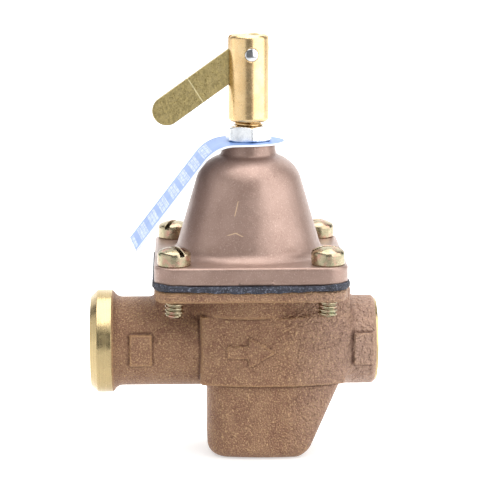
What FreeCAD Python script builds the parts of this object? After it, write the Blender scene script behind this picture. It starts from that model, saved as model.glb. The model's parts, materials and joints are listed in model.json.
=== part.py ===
"""Pressure reducing valve, 1/2 inch, with a fast-fill lever.

The frame stands on the flat underside of the bowl: the origin is on the bonnet axis, +Z goes up along it, +X is
the flow direction and -Y is the front. Lengths are in millimetres, angles in degrees.
"""
import FreeCAD, Part
import math
import os
import Sketcher

Vector = FreeCAD.Vector

# ------------------------------------------------------------------ driving dimensions
DRIVING = {
    # heights above the underside of the bowl
    "diaphragm_height": 61.3, "pipe_height": 37.3, "chest_bottom": 25.5, "drum_bottom": 48.7,
    # diaphragm and flanges
    "diaphragm_thick": 1.8, "flange_side": 63.0, "flange_corner": 6.5, "diaphragm_proud": 0.75,
    "bonnet_flange_thick": 6.0, "body_flange_thick": 3.9, "body_flange_side": 63.3,
    "screw_square": 50.0,
    # bonnet shell, heights above the middle of the diaphragm
    "cone_foot_radius": 24.7, "cone_top_radius": 16.8, "cone_top": 34.0,
    "neck_foot_radius": 9.2, "neck_top_radius": 8.7, "shoulder_top": 39.8, "neck_top": 43.5,
    "shell_thick": 3.2,
    # pipe ends
    "inlet_reach": 53.2, "outlet_reach": 43.0, "pipe_radius": 15.0, "port_radius": 9.55, "port_depth": 15.0,
    "collar_radius": 17.4, "collar_length": 7.3, "collar_bevel": 2.4, "collar_chamfer": 2.2,
    "web_left": 31.4, "web_right": 33.5, "web_half_width": 14.0,
    # chest and bowl
    "chest_left": 16.6, "chest_right": 31.8, "chest_half_depth": 20.3, "drum_radius": 21.6,
    "bowl_left": 14.2, "bowl_half_depth": 19.4, "bowl_corner_depth": 13.2, "bowl_foot_right": 17.0, "bowl_corner": 4.5,
    # passages
    "chamber_radius": 18.5, "chamber_floor": 51.8, "strainer_well_radius": 10.8, "well_floor": 5.0,
    "seat_wall_bottom": 37.8, "seat_wall_top": 43.8, "seat_bore_radius": 9.5, "orifice_radius": 5.2,
    "check_bore_radius": 7.4,
    # adjusting screw, 3/8-16, and its hardware
    "screw_radius": 4.72, "thread_clearance": 0.06, "sleeve_radius": 6.75, "sleeve_length": 28.8,
    "sleeve_top": 140.7, "pin_drop": 6.3, "pin_radius": 2.2, "slot_drop": 16.6, "slot_width": 2.2,
    "screw_bottom": 90.8, "screw_yaw": 7.6, "plunger_radius": 2.5, "plunger_bore_radius": 2.56,
    "nut_across_flats": 14.0, "nut_thick": 5.1, "nut_yaw": 37.9,
    # lever
    "lever_half_width": 4.85, "lever_thick": 2.0, "lever_length": 35.7, "lever_drop": 34.7,
    "lever_pin_inset": 2.66, "lever_pin_offset": 0.36,
    # tag
    "tag_width": 24.4, "tag_thick": 0.6, "tag_round": 11.9, "tag_bend": 13.0, "tag_slope": 52.0,
    "tag_run": 37.0, "tag_flat": 6.0, "tag_yaw": 6.0,
    # bonnet screws, 1/4-20
    "bolt_radius": 3.17, "bolt_head_radius": 5.45, "bolt_head_side": 4.3, "bolt_dome": 1.7,
    "bolt_length": 17.4, "bolt_slot_width": 1.3, "bolt_slot_depth": 1.8,
    # stem assembly
    "stem_radius": 2.4, "stem_thread_radius": 3.0, "washer_radius": 14.0, "washer_thick": 2.0,
    "plate_radius": 15.5, "disc_radius": 6.8,
    # springs
    "range_wire": 2.8, "range_coil_radius": 9.7, "button_thick": 3.0,
}

doc = FreeCAD.newDocument("pressure_reducing_valve")
sheet = doc.addObject("Spreadsheet::Sheet", "Sizes")
for row, (alias, number) in enumerate(DRIVING.items(), start=1):
    sheet.set(f"A{row}", alias)
    sheet.set(f"B{row}", str(number))
    sheet.setAlias(f"B{row}", alias)
doc.recompute()


# ------------------------------------------------------------------ sizes that carry their formula
class Size:
    """A length worked out from the sheet: its number now, and the formula that an object is bound to."""

    def __init__(self, number, formula):
        self.number = number
        self.formula = formula

    def __add__(self, other):
        other = as_size(other)
        return Size(self.number + other.number, f"({self.formula} + {other.formula})")

    def __sub__(self, other):
        other = as_size(other)
        return Size(self.number - other.number, f"({self.formula} - {other.formula})")

    def __mul__(self, other):
        other = as_size(other)
        return Size(self.number * other.number, f"({self.formula} * {other.formula})")

    def __truediv__(self, other):
        other = as_size(other)
        return Size(self.number / other.number, f"({self.formula} / {other.formula})")

    def __radd__(self, other):
        return as_size(other) + self

    def __rsub__(self, other):
        return as_size(other) - self

    def __rmul__(self, other):
        return as_size(other) * self

    def __neg__(self):
        return as_size(0) - self


def as_size(value):
    """A plain number as a Size, so that both can stand in one sum."""
    return value if isinstance(value, Size) else Size(float(value), f"{float(value):.6f}")


def d(alias):
    """The driving dimension of that name."""
    return Size(DRIVING[alias], f"Sizes.{alias}")


def sine(angle):
    return Size(math.sin(math.radians(angle.number)), f"sin({angle.formula} * 1 deg)")


def cosine(angle):
    return Size(math.cos(math.radians(angle.number)), f"cos({angle.formula} * 1 deg)")


def bind(obj, path, value):
    """Ties one property of an object to its formula."""
    obj.setExpression(path, as_size(value).formula)


def place(obj, x=0, y=0, z=0, yaw=None):
    """Puts a finished object in the frame; yaw turns it about +Z."""
    turn = FreeCAD.Rotation(Vector(0, 0, 1), as_size(yaw).number if yaw is not None else 0)
    obj.Placement = FreeCAD.Placement(Vector(*(as_size(v).number for v in (x, y, z))), turn)
    for letter, value in (("x", x), ("y", y), ("z", z)):
        bind(obj, f"Placement.Base.{letter}", value)
    if yaw is not None:
        bind(obj, "Placement.Rotation.Angle", yaw)


# ------------------------------------------------------------------ sketches and features
def new_body(label):
    body = doc.addObject("PartDesign::Body", label)
    body.Label = label
    return body


def new_sketch(body, name, plane, offset=(0, 0, 0), tilt=None):
    """A sketch on one of the body's own origin planes, shifted along that plane's axes and normal."""
    sketch = body.newObject("Sketcher::SketchObject", name)
    support = next(item for item in body.Origin.OriginFeatures if item.Role == plane)
    sketch.AttachmentSupport = [(support, "")]
    sketch.MapMode = "FlatFace"
    turn = FreeCAD.Rotation(Vector(0, 0, 1), tilt or 0)
    sketch.AttachmentOffset = FreeCAD.Placement(Vector(*(as_size(v).number for v in offset)), turn)
    for letter, value in zip("xyz", offset):
        bind(sketch, f"AttachmentOffset.Base.{letter}", value)
    return sketch


def draw_outline(sketch, corners):
    """Closes an outline through the corners; a third entry bends the edge that leads to its corner.

    A positive radius bends the edge anticlockwise, a negative one clockwise, and never by half a turn or more.
    """
    first = sketch.GeometryCount
    ends = []
    for index, corner in enumerate(corners):
        before = corners[index - 1]
        start = Vector(*(as_size(v).number for v in before[:2]))
        finish = Vector(*(as_size(v).number for v in corner[:2]))
        if len(corner) == 2:
            sketch.addGeometry(Part.LineSegment(start, finish))
            ends.append((1, 2))
            continue
        radius = as_size(corner[2]).number
        chord = finish - start
        side = Vector(-chord.y, chord.x, 0).normalize()
        rise = math.sqrt(max(radius ** 2 - chord.Length ** 2 / 4, 0))
        centre = (start + finish) * 0.5 + side * math.copysign(rise, radius)
        from_point, to_point = (start, finish) if radius > 0 else (finish, start)
        angles = [math.atan2(p.y - centre.y, p.x - centre.x) for p in (from_point, to_point)]
        circle = Part.Circle(centre, Vector(0, 0, 1), abs(radius))
        sketch.addGeometry(Part.ArcOfCircle(circle, *angles))
        ends.append((1, 2) if radius > 0 else (2, 1))
    for index, corner in enumerate(corners):
        after = (index + 1) % len(corners)
        sketch.addConstraint(Sketcher.Constraint(
            "Coincident", first + index, ends[index][1], first + after, ends[after][0]))
        for kind, value in (("DistanceX", corner[0]), ("DistanceY", corner[1])):
            number = sketch.addConstraint(Sketcher.Constraint(
                kind, -1, 1, first + index, ends[index][1], as_size(value).number))
            bind(sketch, f"Constraints[{number}]", value)
        if len(corner) == 3:
            size = as_size(corner[2])
            size = size if size.number > 0 else -size
            number = sketch.addConstraint(Sketcher.Constraint("Radius", first + index, size.number))
            bind(sketch, f"Constraints[{number}]", size)


def draw_circle(sketch, x, y, radius):
    centre = Vector(as_size(x).number, as_size(y).number, 0)
    index = sketch.addGeometry(Part.Circle(centre, Vector(0, 0, 1), as_size(radius).number))
    for kind, value in (("DistanceX", x), ("DistanceY", y)):
        number = sketch.addConstraint(Sketcher.Constraint(kind, -1, 1, index, 3, as_size(value).number))
        bind(sketch, f"Constraints[{number}]", value)
    number = sketch.addConstraint(Sketcher.Constraint("Radius", index, as_size(radius).number))
    bind(sketch, f"Constraints[{number}]", radius)


def grow(body, name, sketch, length):
    """Pads a sketch along its normal."""
    pad = body.newObject("PartDesign::Pad", name)
    pad.Profile = sketch
    bind(pad, "Length", length)
    doc.recompute()
    return pad


def sink(body, name, sketch, length):
    """Pockets a sketch along its normal and makes sure that it took material away."""
    before = body.Shape.Volume
    pocket = body.newObject("PartDesign::Pocket", name)
    pocket.Profile = sketch
    pocket.Reversed = True
    bind(pocket, "Length", length)
    doc.recompute()
    if body.Shape.Volume > before - 1e-3:
        raise RuntimeError(f"{body.Label}: {name} cuts nothing")
    return pocket


def spin(body, name, sketch, axis, cut=False):
    """Revolves a sketch about one of its own axes, as added or as cut-away material."""
    before = body.Shape.Volume if cut else 0.0
    turned = body.newObject("PartDesign::Groove" if cut else "PartDesign::Revolution", name)
    turned.Profile = sketch
    turned.ReferenceAxis = (sketch, [axis])
    turned.Angle = 360
    doc.recompute()
    if cut and body.Shape.Volume > before - 1e-3:
        raise RuntimeError(f"{body.Label}: {name} cuts nothing")
    return turned


def turned_part(label, corners, z=0, yaw=None):
    """A piece turned about +Z from its half section, radius first and height second."""
    body = new_body(label)
    sketch = new_sketch(body, f"{label}_section", "XZ_Plane")
    draw_outline(sketch, corners)
    spin(body, f"{label}_turned", sketch, "V_Axis")
    place(body, z=z, yaw=yaw)
    return body


def ring(label, inner, outer, thick, z):
    return turned_part(label, [(inner, 0), (outer, 0), (outer, thick), (inner, thick)], z=z)


def round_edges(body, name, radius, wanted):
    """Fillets the edges of the tip whose middle point passes the test."""
    base = body.Tip
    names = [f"Edge{i}" for i, edge in enumerate(base.Shape.Edges, start=1) if wanted(middle(edge), edge)]
    fillet = body.newObject("PartDesign::Fillet", name)
    fillet.Base = (base, names)
    bind(fillet, "Radius", radius)
    doc.recompute()
    return fillet


def middle(edge):
    return edge.valueAt((edge.FirstParameter + edge.LastParameter) / 2)


def rounded_square(half_x, half_y, corner):
    """Corners of a rounded rectangle about the sketch's origin, anticlockwise."""
    return [
        (half_x - corner, -half_y), (half_x, corner - half_y, corner),
        (half_x, half_y - corner), (half_x - corner, half_y, corner),
        (corner - half_x, half_y), (-half_x, half_y - corner, corner),
        (-half_x, corner - half_y), (corner - half_x, -half_y, corner),
    ]


def hexagon(across_flats):
    half = across_flats / 2
    corner = across_flats / math.sqrt(3)
    return [
        (corner, 0), (corner / 2, half), (-corner / 2, half),
        (-corner, 0), (-corner / 2, -half), (corner / 2, -half),
    ]


# ------------------------------------------------------------------ heights and places shared by several pieces
middle_height = d("diaphragm_height")
clamp_top = middle_height + d("diaphragm_thick") / 2
clamp_bottom = middle_height - d("diaphragm_thick") / 2
bonnet_flange_top = clamp_top + d("bonnet_flange_thick")
body_flange_bottom = clamp_bottom - d("body_flange_thick")
neck_top = middle_height + d("neck_top")
screw_half = d("screw_square") / 2
bolt_places = [(-1, -1), (1, -1), (1, 1), (-1, 1)]
pin_height = d("sleeve_top") - d("pin_drop")
thread_bore = d("screw_radius") + d("thread_clearance")
cage_floor = d("seat_wall_bottom") - 16.0
stem_top = clamp_top + 7.6
plunger_top = pin_height - 6.1
plunger_bottom = stem_top + 0.95
groove_low = neck_top + 5.0
groove_length = 2.0
groove_radius = 1.7


def bolt_circles(body, name, z, radius):
    sketch = new_sketch(body, name, "XY_Plane", (0, 0, z))
    for x_side, y_side in bolt_places:
        draw_circle(sketch, x_side * screw_half, y_side * screw_half, radius)
    return sketch


# ------------------------------------------------------------------ pressure body
def body_casting():
    """Bronze casting: flange, drum, pipe run, chest and bowl in one, then the machined bores."""
    body = new_body("body_casting")
    half = d("body_flange_side") / 2
    flange = new_sketch(body, "flange_outline", "XY_Plane", (0, 0, body_flange_bottom))
    draw_outline(flange, rounded_square(half, half, d("flange_corner")))
    grow(body, "flange", flange, d("body_flange_thick"))

    drum = new_sketch(body, "drum_outline", "XY_Plane", (0, 0, d("drum_bottom")))
    draw_circle(drum, 0, 0, d("drum_radius"))
    grow(body, "drum", drum, body_flange_bottom - d("drum_bottom"))

    web = new_sketch(body, "web_outline", "XY_Plane", (0, 0, d("pipe_height")))
    draw_outline(web, [
        (-d("web_left"), -d("web_half_width")), (d("web_right"), -d("web_half_width")),
        (d("web_right"), d("web_half_width")), (-d("web_left"), d("web_half_width")),
    ])
    grow(body, "web", web, body_flange_bottom - d("pipe_height"))

    run = new_sketch(body, "pipe_section", "XZ_Plane", (0, d("pipe_height"), 0))
    bevel_start = d("inlet_reach") - d("collar_length")
    edge = 2.0
    draw_outline(run, [
        (-d("inlet_reach"), 0), (d("outlet_reach"), 0),
        (d("outlet_reach"), d("pipe_radius") - edge),
        (d("outlet_reach") - edge, d("pipe_radius"), edge),
        (d("collar_bevel") - bevel_start, d("pipe_radius")),
        (-bevel_start, d("collar_radius")),
        (d("collar_chamfer") - d("inlet_reach"), d("collar_radius")),
        (-d("inlet_reach"), d("collar_radius") - d("collar_chamfer")),
    ])
    spin(body, "pipe_run", run, "H_Axis")

    # the chest: a bowed front and back between the drum and the bowl
    depth = d("chest_half_depth")
    chest = new_sketch(body, "chest_outline", "XY_Plane", (0, 0, d("chest_bottom")))
    corner = 3.5
    shallow = depth - 3.6
    draw_outline(chest, [
        (corner - d("chest_left"), 1.0 - depth, corner), (d("chest_right"), -shallow, 85),
        (d("chest_right"), shallow), (corner - d("chest_left"), depth - 1.0, 85),
        (-d("chest_left"), depth - 1.0 - corner, corner), (-d("chest_left"), corner + 1.0 - depth),
    ])
    grow(body, "chest", chest, d("drum_bottom") - d("chest_bottom"))

    # the bowl: its right face leans out to meet the chest
    deep = d("bowl_half_depth")
    bowl = new_sketch(body, "bowl_outline", "XZ_Plane", (0, 0, -deep))
    lean_foot = 4.0
    foot = 2.6
    top = d("chest_bottom") + 2.0
    draw_outline(bowl, [
        (d("bowl_corner") - d("bowl_left"), 0, d("bowl_corner")), (d("bowl_foot_right"), 0),
        (d("bowl_foot_right") + foot, foot * 0.8, lean_foot),
        (d("chest_right") - 1.0, top), (-d("bowl_left"), top),
        (-d("bowl_left"), d("bowl_corner")),
    ])
    grow(body, "bowl", bowl, deep * 2)
    plan = new_sketch(body, "bowl_plan", "XY_Plane", (0, 0, -1))
    left, right, side, bow = -d("bowl_left") - 1.0, d("chest_right") + 1.0, d("bowl_corner_depth"), 50
    draw_outline(plan, [(left, -side), (right, -side, bow), (right, side), (left, side, bow)])
    outer = deep + 2.0
    draw_outline(plan, [(left - 1, -outer), (right + 1, -outer), (right + 1, outer), (left - 1, outer)])
    sink(body, "bowl_bow", plan, d("chest_bottom") + 1.0)

    # pads for a wrench on the front and back of both pipe ends
    for side, left, right in (("inlet", -40.0, -32.4), ("outlet", 34.3, 42.0)):
        pad_half_height = 5.5
        proud = d("pipe_radius") + 0.6
        pads = new_sketch(body, f"{side}_pad_outline", "XZ_Plane", (0, d("pipe_height"), -proud))
        draw_outline(pads, [
            (left, -pad_half_height), (right, -pad_half_height),
            (right, pad_half_height), (left, pad_half_height),
        ])
        grow(body, f"{side}_pads", pads, proud * 2)

    # raised arrow that shows the flow direction, on the front of the chest
    arrow = new_sketch(body, "arrow_outline", "XZ_Plane", (0, d("pipe_height"), depth - 1.0))
    shaft, wing, neck_x, tail_x, point_x = 2.1, 4.2, 1.2, -7.4, 8.2
    draw_outline(arrow, [
        (tail_x, -shaft), (neck_x, -shaft), (neck_x, -wing), (point_x, 0),
        (neck_x, wing), (neck_x, shaft), (tail_x, shaft),
    ])
    grow(body, "flow_arrow", arrow, 2.4)

    # machined: diaphragm chamber, outlet chamber, seat bore and strainer well on the bonnet axis
    chamber = new_sketch(body, "chamber_section", "XZ_Plane")
    outlet_chamber = d("strainer_well_radius") + 0.2
    draw_outline(chamber, [
        (0, d("well_floor")), (d("strainer_well_radius"), d("well_floor")),
        (d("strainer_well_radius"), d("seat_wall_bottom")), (d("seat_bore_radius"), d("seat_wall_bottom")),
        (d("seat_bore_radius"), d("seat_wall_top")), (outlet_chamber, d("seat_wall_top")),
        (outlet_chamber, d("chamber_floor")), (d("chamber_radius"), d("chamber_floor")),
        (d("chamber_radius"), clamp_bottom + 1.0), (0, clamp_bottom + 1.0),
    ])
    spin(body, "chamber", chamber, "V_Axis", cut=True)

    # machined: pipe ports, with the check valve's bore behind the inlet
    ports = new_sketch(body, "port_section", "XZ_Plane", (0, d("pipe_height"), 0))
    inlet_step = d("port_depth") - d("inlet_reach")
    check_bore_end = -19.8
    draw_outline(ports, [
        (-d("inlet_reach") - 1.0, 0), (check_bore_end, 0), (check_bore_end, d("check_bore_radius")),
        (inlet_step, d("check_bore_radius")), (inlet_step, d("port_radius")),
        (-d("inlet_reach") - 1.0, d("port_radius")),
    ])
    spin(body, "inlet_port", ports, "H_Axis", cut=True)
    outlet = new_sketch(body, "outlet_section", "XZ_Plane", (0, d("pipe_height"), 0))
    outlet_step = d("outlet_reach") - d("port_depth")
    draw_outline(outlet, [
        (outlet_step, 0), (d("outlet_reach") + 1.0, 0),
        (d("outlet_reach") + 1.0, d("port_radius")), (outlet_step, d("port_radius")),
    ])
    spin(body, "outlet_port", outlet, "H_Axis", cut=True)

    # slanting passages: inlet down to the strainer well, outlet up to the chamber
    for name, x, z, tilt, length, radius in (
            ("inlet_passage", -22.5, d("pipe_height") - 2.1, -19.0, 15.5, 4.8),
            ("outlet_passage", 8.0, d("seat_wall_top") + 5.4, -23.4, 24.0, 4.4)):
        passage = new_sketch(body, f"{name}_section", "XZ_Plane", (x, z, 0), tilt)
        draw_outline(passage, [(0, 0), (length, 0), (length, radius), (0, radius)])
        spin(body, name, passage, "H_Axis", cut=True)

    holes = bolt_circles(body, "tapped_hole_circles", body_flange_bottom - 1.0, d("bolt_radius") + 0.03)
    sink(body, "tapped_holes", holes, d("body_flange_thick") + 2.0)
    return body


def bonnet():
    """Spring housing: a square flange under a smooth cone with a rounded shoulder and a short neck."""
    body = new_body("bonnet")
    half = d("flange_side") / 2
    flange = new_sketch(body, "bonnet_flange_outline", "XY_Plane", (0, 0, clamp_top))
    draw_outline(flange, rounded_square(half, half, d("flange_corner")))
    grow(body, "bonnet_flange", flange, d("bonnet_flange_thick"))

    shoulder = 8.0
    shell = new_sketch(body, "shell_section", "XZ_Plane", (0, middle_height, 0))
    foot_height = d("diaphragm_thick") / 2
    flange_top = foot_height + d("bonnet_flange_thick")
    draw_outline(shell, [
        (0, foot_height), (d("cone_foot_radius"), foot_height), (d("cone_foot_radius"), flange_top),
        (d("cone_top_radius"), d("cone_top")),
        (d("neck_foot_radius") + 0.4, d("shoulder_top"), shoulder),
        (d("neck_foot_radius"), d("shoulder_top") + 0.4, -0.4),
        (d("neck_top_radius"), d("neck_top") - 0.5),
        (d("neck_top_radius") - 0.5, d("neck_top"), 0.5),
        (0, d("neck_top")),
    ])
    spin(body, "shell", shell, "V_Axis")

    round_edges(body, "foot_round", 3.0, lambda point, edge: (
        abs(point.z - bonnet_flange_top.number) < 0.1
        and abs(math.hypot(point.x, point.y) - d("cone_foot_radius").number) < 0.1))
    round_edges(body, "flange_round", 0.8, lambda point, edge: (
        abs(point.z - bonnet_flange_top.number) < 0.1 and math.hypot(point.x, point.y) > 28.5))

    inside = new_sketch(body, "cavity_section", "XZ_Plane", (0, middle_height, 0))
    ceiling = d("cone_top") + 1.5
    draw_outline(inside, [
        (0, -1), (d("cone_foot_radius") - d("shell_thick"), -1),
        (d("cone_foot_radius") - d("shell_thick"), flange_top),
        (d("cone_top_radius") - d("shell_thick"), d("cone_top") - 1.0),
        (d("cone_top_radius") - d("shell_thick") - 2.4, ceiling, 2.6),
        (0, ceiling),
    ])
    spin(body, "cavity", inside, "V_Axis", cut=True)
    thread = new_sketch(body, "thread_circle", "XY_Plane", (0, 0, middle_height + ceiling - 1.0))
    draw_circle(thread, 0, 0, thread_bore)
    sink(body, "thread_bore", thread, 12)
    holes = bolt_circles(body, "clearance_hole_circles", clamp_top - 1.0, d("bolt_radius") + 0.35)
    sink(body, "clearance_holes", holes, d("bonnet_flange_thick") + 2.0)

    # a short raised line low on the front edge of the flange, from the pattern
    line = new_sketch(body, "pattern_line_outline", "XZ_Plane", (0, clamp_top, half - 0.5))
    draw_outline(line, [(-4.0, 0.7), (6.8, 0.7), (6.8, 1.3), (-4.0, 1.3)])
    grow(body, "pattern_line", line, 0.7)
    return body


def diaphragm():
    """Rubber sheet clamped between the two flanges, standing a little proud of them."""
    body = new_body("diaphragm")
    half = d("flange_side") / 2 + d("diaphragm_proud")
    outline = new_sketch(body, "diaphragm_outline", "XY_Plane", (0, 0, clamp_bottom))
    draw_outline(outline, rounded_square(half, half, d("flange_corner") + 0.3))
    grow(body, "diaphragm_sheet", outline, d("diaphragm_thick"))
    holes = bolt_circles(body, "diaphragm_holes", clamp_bottom - 1.0, d("bolt_radius") + 0.2)
    draw_circle(holes, 0, 0, d("stem_thread_radius") + 0.05)
    sink(body, "diaphragm_cuts", holes, d("diaphragm_thick") + 2.0)
    return body


def bonnet_bolt(index, x_side, y_side, slot_angle):
    """One slotted fillister-head screw, from its half section, with a rolled thread's tapered end."""
    shank, head = d("bolt_radius"), d("bolt_head_radius")
    side_top = d("bolt_head_side")
    dome_top = side_top + d("bolt_dome")
    crown = (head * head + d("bolt_dome") * d("bolt_dome")) / (d("bolt_dome") * 2)
    length = d("bolt_length")
    taper = 1.2
    body = turned_part(f"bonnet_bolt_{index}", [
        (0, -length), (shank - taper * 0.6, -length), (shank, taper - length), (shank, 0), (head, 0),
        (head, side_top), (0, dome_top, crown),
    ])
    slot = new_sketch(body, f"bolt_slot_{index}", "XY_Plane", (0, 0, dome_top - d("bolt_slot_depth")))
    half_width = d("bolt_slot_width") / 2
    draw_outline(slot, [
        (-head - 1, -half_width), (head + 1, -half_width), (head + 1, half_width), (-head - 1, half_width)])
    sink(body, f"bolt_slot_cut_{index}", slot, 3)
    place(body, x_side * screw_half, y_side * screw_half, bonnet_flange_top, yaw=slot_angle)
    return body


def bonnet_screws():
    """The four bonnet screws, each left at the angle where it came tight."""
    slot_angles = (-70.0, 4.0, 20.0, 50.0)
    bolts = [bonnet_bolt(i, x, y, angle) for i, ((x, y), angle) in enumerate(zip(bolt_places, slot_angles), 1)]
    group = doc.addObject("Part::Compound", "bonnet_screws")
    group.Links = bolts
    return group


# ------------------------------------------------------------------ seat, cage, strainer and check valve
def seat_ring():
    """Brass seat screwed down into the wall, with a raised lip underneath for the rubber disc."""
    outer, bore = d("seat_bore_radius") - 0.05, d("orifice_radius")
    flange = d("strainer_well_radius") - 0.2
    ring_height = d("seat_wall_top") - d("seat_wall_bottom") + 1.6
    return turned_part("seat_ring", [
        (bore, 0), (bore + 0.4, -0.6), (bore + 1.0, -0.6), (bore + 1.4, 0), (outer, 0),
        (outer, ring_height), (flange, ring_height), (flange, ring_height + 2.4), (bore + 1.4, ring_height + 2.4),
        (bore, ring_height + 1.2),
    ], z=d("seat_wall_bottom") - 0.8)


def seat_gasket():
    return ring("seat_gasket", d("seat_bore_radius") + 0.1, d("strainer_well_radius") - 0.2, 0.8,
                d("seat_wall_top"))


def valve_cage():
    """Guide tube under the seat: its floor is a hub on three spokes, so the water comes up through it."""
    outer, wall, floor = d("seat_bore_radius") - 0.3, 1.4, 2.0
    tall = d("seat_wall_bottom") - 0.8 - cage_floor
    body = turned_part("valve_cage", [
        (1.66, 0), (outer, 0), (outer, tall), (outer - wall, tall), (outer - wall, floor), (1.66, floor),
    ], z=cage_floor)
    window = new_sketch(body, "cage_window", "XY_Plane", (0, 0, -1))
    inner_arc, outer_arc, half_angle = 3.2, 7.2, math.radians(45)
    points = [(r * math.cos(a), r * math.sin(a)) for r, a in (
        (inner_arc, -half_angle), (outer_arc, -half_angle), (outer_arc, half_angle), (inner_arc, half_angle))]
    draw_outline(window, [points[0], points[1], (*points[2], outer_arc), points[3]])
    cut = sink(body, "cage_window_cut", window, floor + 2.0)
    windows = body.newObject("PartDesign::PolarPattern", "cage_windows")
    windows.Originals = [cut]
    windows.Axis = (window, ["N_Axis"])
    windows.Angle = 360
    windows.Occurrences = 3
    body.Tip = windows
    return body


def strainer_screen():
    """Stainless strainer under the cage: a thin tube with rows of slots."""
    inner, tall, rows, around = 8.5, cage_floor - d("well_floor"), 3, 10
    body = turned_part("strainer_screen", [(inner, 0), (inner + 0.5, 0), (inner + 0.5, tall), (inner, tall)],
                       z=d("well_floor"))
    slots = new_sketch(body, "strainer_slots", "XZ_Plane")
    for row in range(rows):
        low = 2.4 + row * 4.6
        draw_outline(slots, [(-1.1, low), (1.1, low), (1.1, low + 2.6), (-1.1, low + 2.6)])
    cut = sink(body, "strainer_slot_cut", slots, 12)
    pattern = body.newObject("PartDesign::PolarPattern", "strainer_pattern")
    pattern.Originals = [cut]
    pattern.Axis = (slots, ["V_Axis"])
    pattern.Angle = 360
    pattern.Occurrences = around
    body.Tip = pattern
    return body


def lay_along_x(body, x):
    """Turns a piece made about +Z so that its axis lies along +X in the middle of the pipe."""
    body.Placement = FreeCAD.Placement(
        Vector(as_size(x).number, 0, d("pipe_height").number), FreeCAD.Rotation(Vector(0, 1, 0), 90))
    bind(body, "Placement.Base.x", x)
    bind(body, "Placement.Base.z", d("pipe_height"))
    return body


check_seat_start = d("port_depth") - d("inlet_reach")
check_seat_length = 3.0
check_travel_room = 8.0
check_seal_thick = 0.8
check_disc_thick = 2.0
check_disc_back = check_seat_start + (check_seat_length + check_seal_thick + check_disc_thick)
check_cage_start = check_disc_back + check_travel_room


def check_seat():
    outer = d("check_bore_radius") - 0.03
    length = check_seat_length
    return lay_along_x(turned_part("check_seat", [
        (4.4, 0), (outer, 0), (outer, length - 0.5), (6.0, length - 0.5), (5.4, length), (4.9, length),
        (4.4, length - 0.5)]), check_seat_start)


def check_poppet():
    """Mushroom-shaped poppet with a guide stem behind its disc."""
    back = check_seal_thick + check_disc_thick
    return lay_along_x(turned_part("check_poppet", [
        (0, -0.4), (3.6, 0), (3.6, check_seal_thick), (6.3, check_seal_thick), (6.3, back), (1.5, back),
        (1.5, back + check_travel_room + 1.6), (1.1, back + check_travel_room + 2.0),
        (0, back + check_travel_room + 2.0)]), check_seat_start + check_seat_length)


def check_poppet_seal():
    return lay_along_x(turned_part("check_poppet_seal", [
        (3.6, 0), (6.3, 0), (6.3, check_seal_thick), (3.6, check_seal_thick)]),
        check_seat_start + check_seat_length)


def check_cage():
    outer, thick = d("check_bore_radius") - 0.03, 2.0
    body = turned_part("check_cage", [(1.56, 0), (outer, 0), (outer, thick), (1.56, thick)])
    window = new_sketch(body, "check_window", "XY_Plane", (0, 0, -1))
    inner_arc, outer_arc, half_angle = 3.0, 6.0, math.radians(42)
    points = [(r * math.cos(a), r * math.sin(a)) for r, a in (
        (inner_arc, -half_angle), (outer_arc, -half_angle), (outer_arc, half_angle), (inner_arc, half_angle))]
    draw_outline(window, [points[0], points[1], (*points[2], outer_arc), points[3]])
    cut = sink(body, "check_window_cut", window, thick + 2.0)
    windows = body.newObject("PartDesign::PolarPattern", "check_windows")
    windows.Originals = [cut]
    windows.Axis = (window, ["N_Axis"])
    windows.Angle = 360
    windows.Occurrences = 3
    body.Tip = windows
    return lay_along_x(body, check_cage_start)


# ------------------------------------------------------------------ springs
end_gap = 0.1


def coil_spring(label, coil_radius, wire, tall, turns):
    """A compression spring of round wire that stands between z 0 and its height."""
    run = as_size(tall) - wire
    helix = doc.addObject("Part::Helix", f"{label}_path")
    bind(helix, "Radius", coil_radius)
    bind(helix, "Pitch", run / turns)
    bind(helix, "Height", run)
    wire_round = doc.addObject("Part::Circle", f"{label}_wire")
    bind(wire_round, "Radius", as_size(wire) / 2)
    wire_round.Placement = FreeCAD.Placement(
        Vector(as_size(coil_radius).number, 0, 0), FreeCAD.Rotation(Vector(1, 0, 0), 90))
    bind(wire_round, "Placement.Base.x", coil_radius)
    spring = doc.addObject("Part::Sweep", label)
    spring.Sections = [wire_round]
    spring.Spine = (helix, ["Edge1"])
    spring.Solid = True
    spring.Frenet = True
    doc.recompute()
    return spring


def range_spring():
    low = clamp_top + d("washer_thick")
    tall = d("screw_bottom") - d("button_thick") - low
    wire = d("range_wire")
    spring = coil_spring("range_spring", d("range_coil_radius"), wire, tall - end_gap * 2, 5.2)
    place(spring, z=low + wire / 2 + end_gap)
    return spring


def closing_spring():
    wire = 1.0
    spring = coil_spring("closing_spring", 5.7, wire, 7.5 - end_gap * 2, 4.0)
    place(spring, z=cage_floor + 2.0 + wire / 2 + end_gap)
    return spring


def check_spring():
    wire = 0.8
    spring = coil_spring("check_spring", 4.0, wire, check_travel_room - end_gap * 2, 4.0)
    return lay_along_x(spring, check_disc_back + (wire / 2 + end_gap))


# ------------------------------------------------------------------ stem assembly, hung from the diaphragm
def stem():
    """Turned stem: guide tail, neck through the seat, collar under the diaphragm and a threaded top."""
    neck, tail, thread, collar = d("stem_radius"), 1.6, d("stem_thread_radius"), 4.6
    washer_bottom = clamp_bottom - d("washer_thick")
    foot = cage_floor + 1.0
    shoulder = foot + 5.0
    return turned_part("stem", [
        (0, foot), (tail, foot), (tail, shoulder), (neck, shoulder), (neck, washer_bottom - 2.0),
        (collar, washer_bottom - 2.0), (collar, washer_bottom), (thread, washer_bottom),
        (thread, stem_top - 0.4), (thread - 0.4, stem_top), (0, stem_top)])


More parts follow.
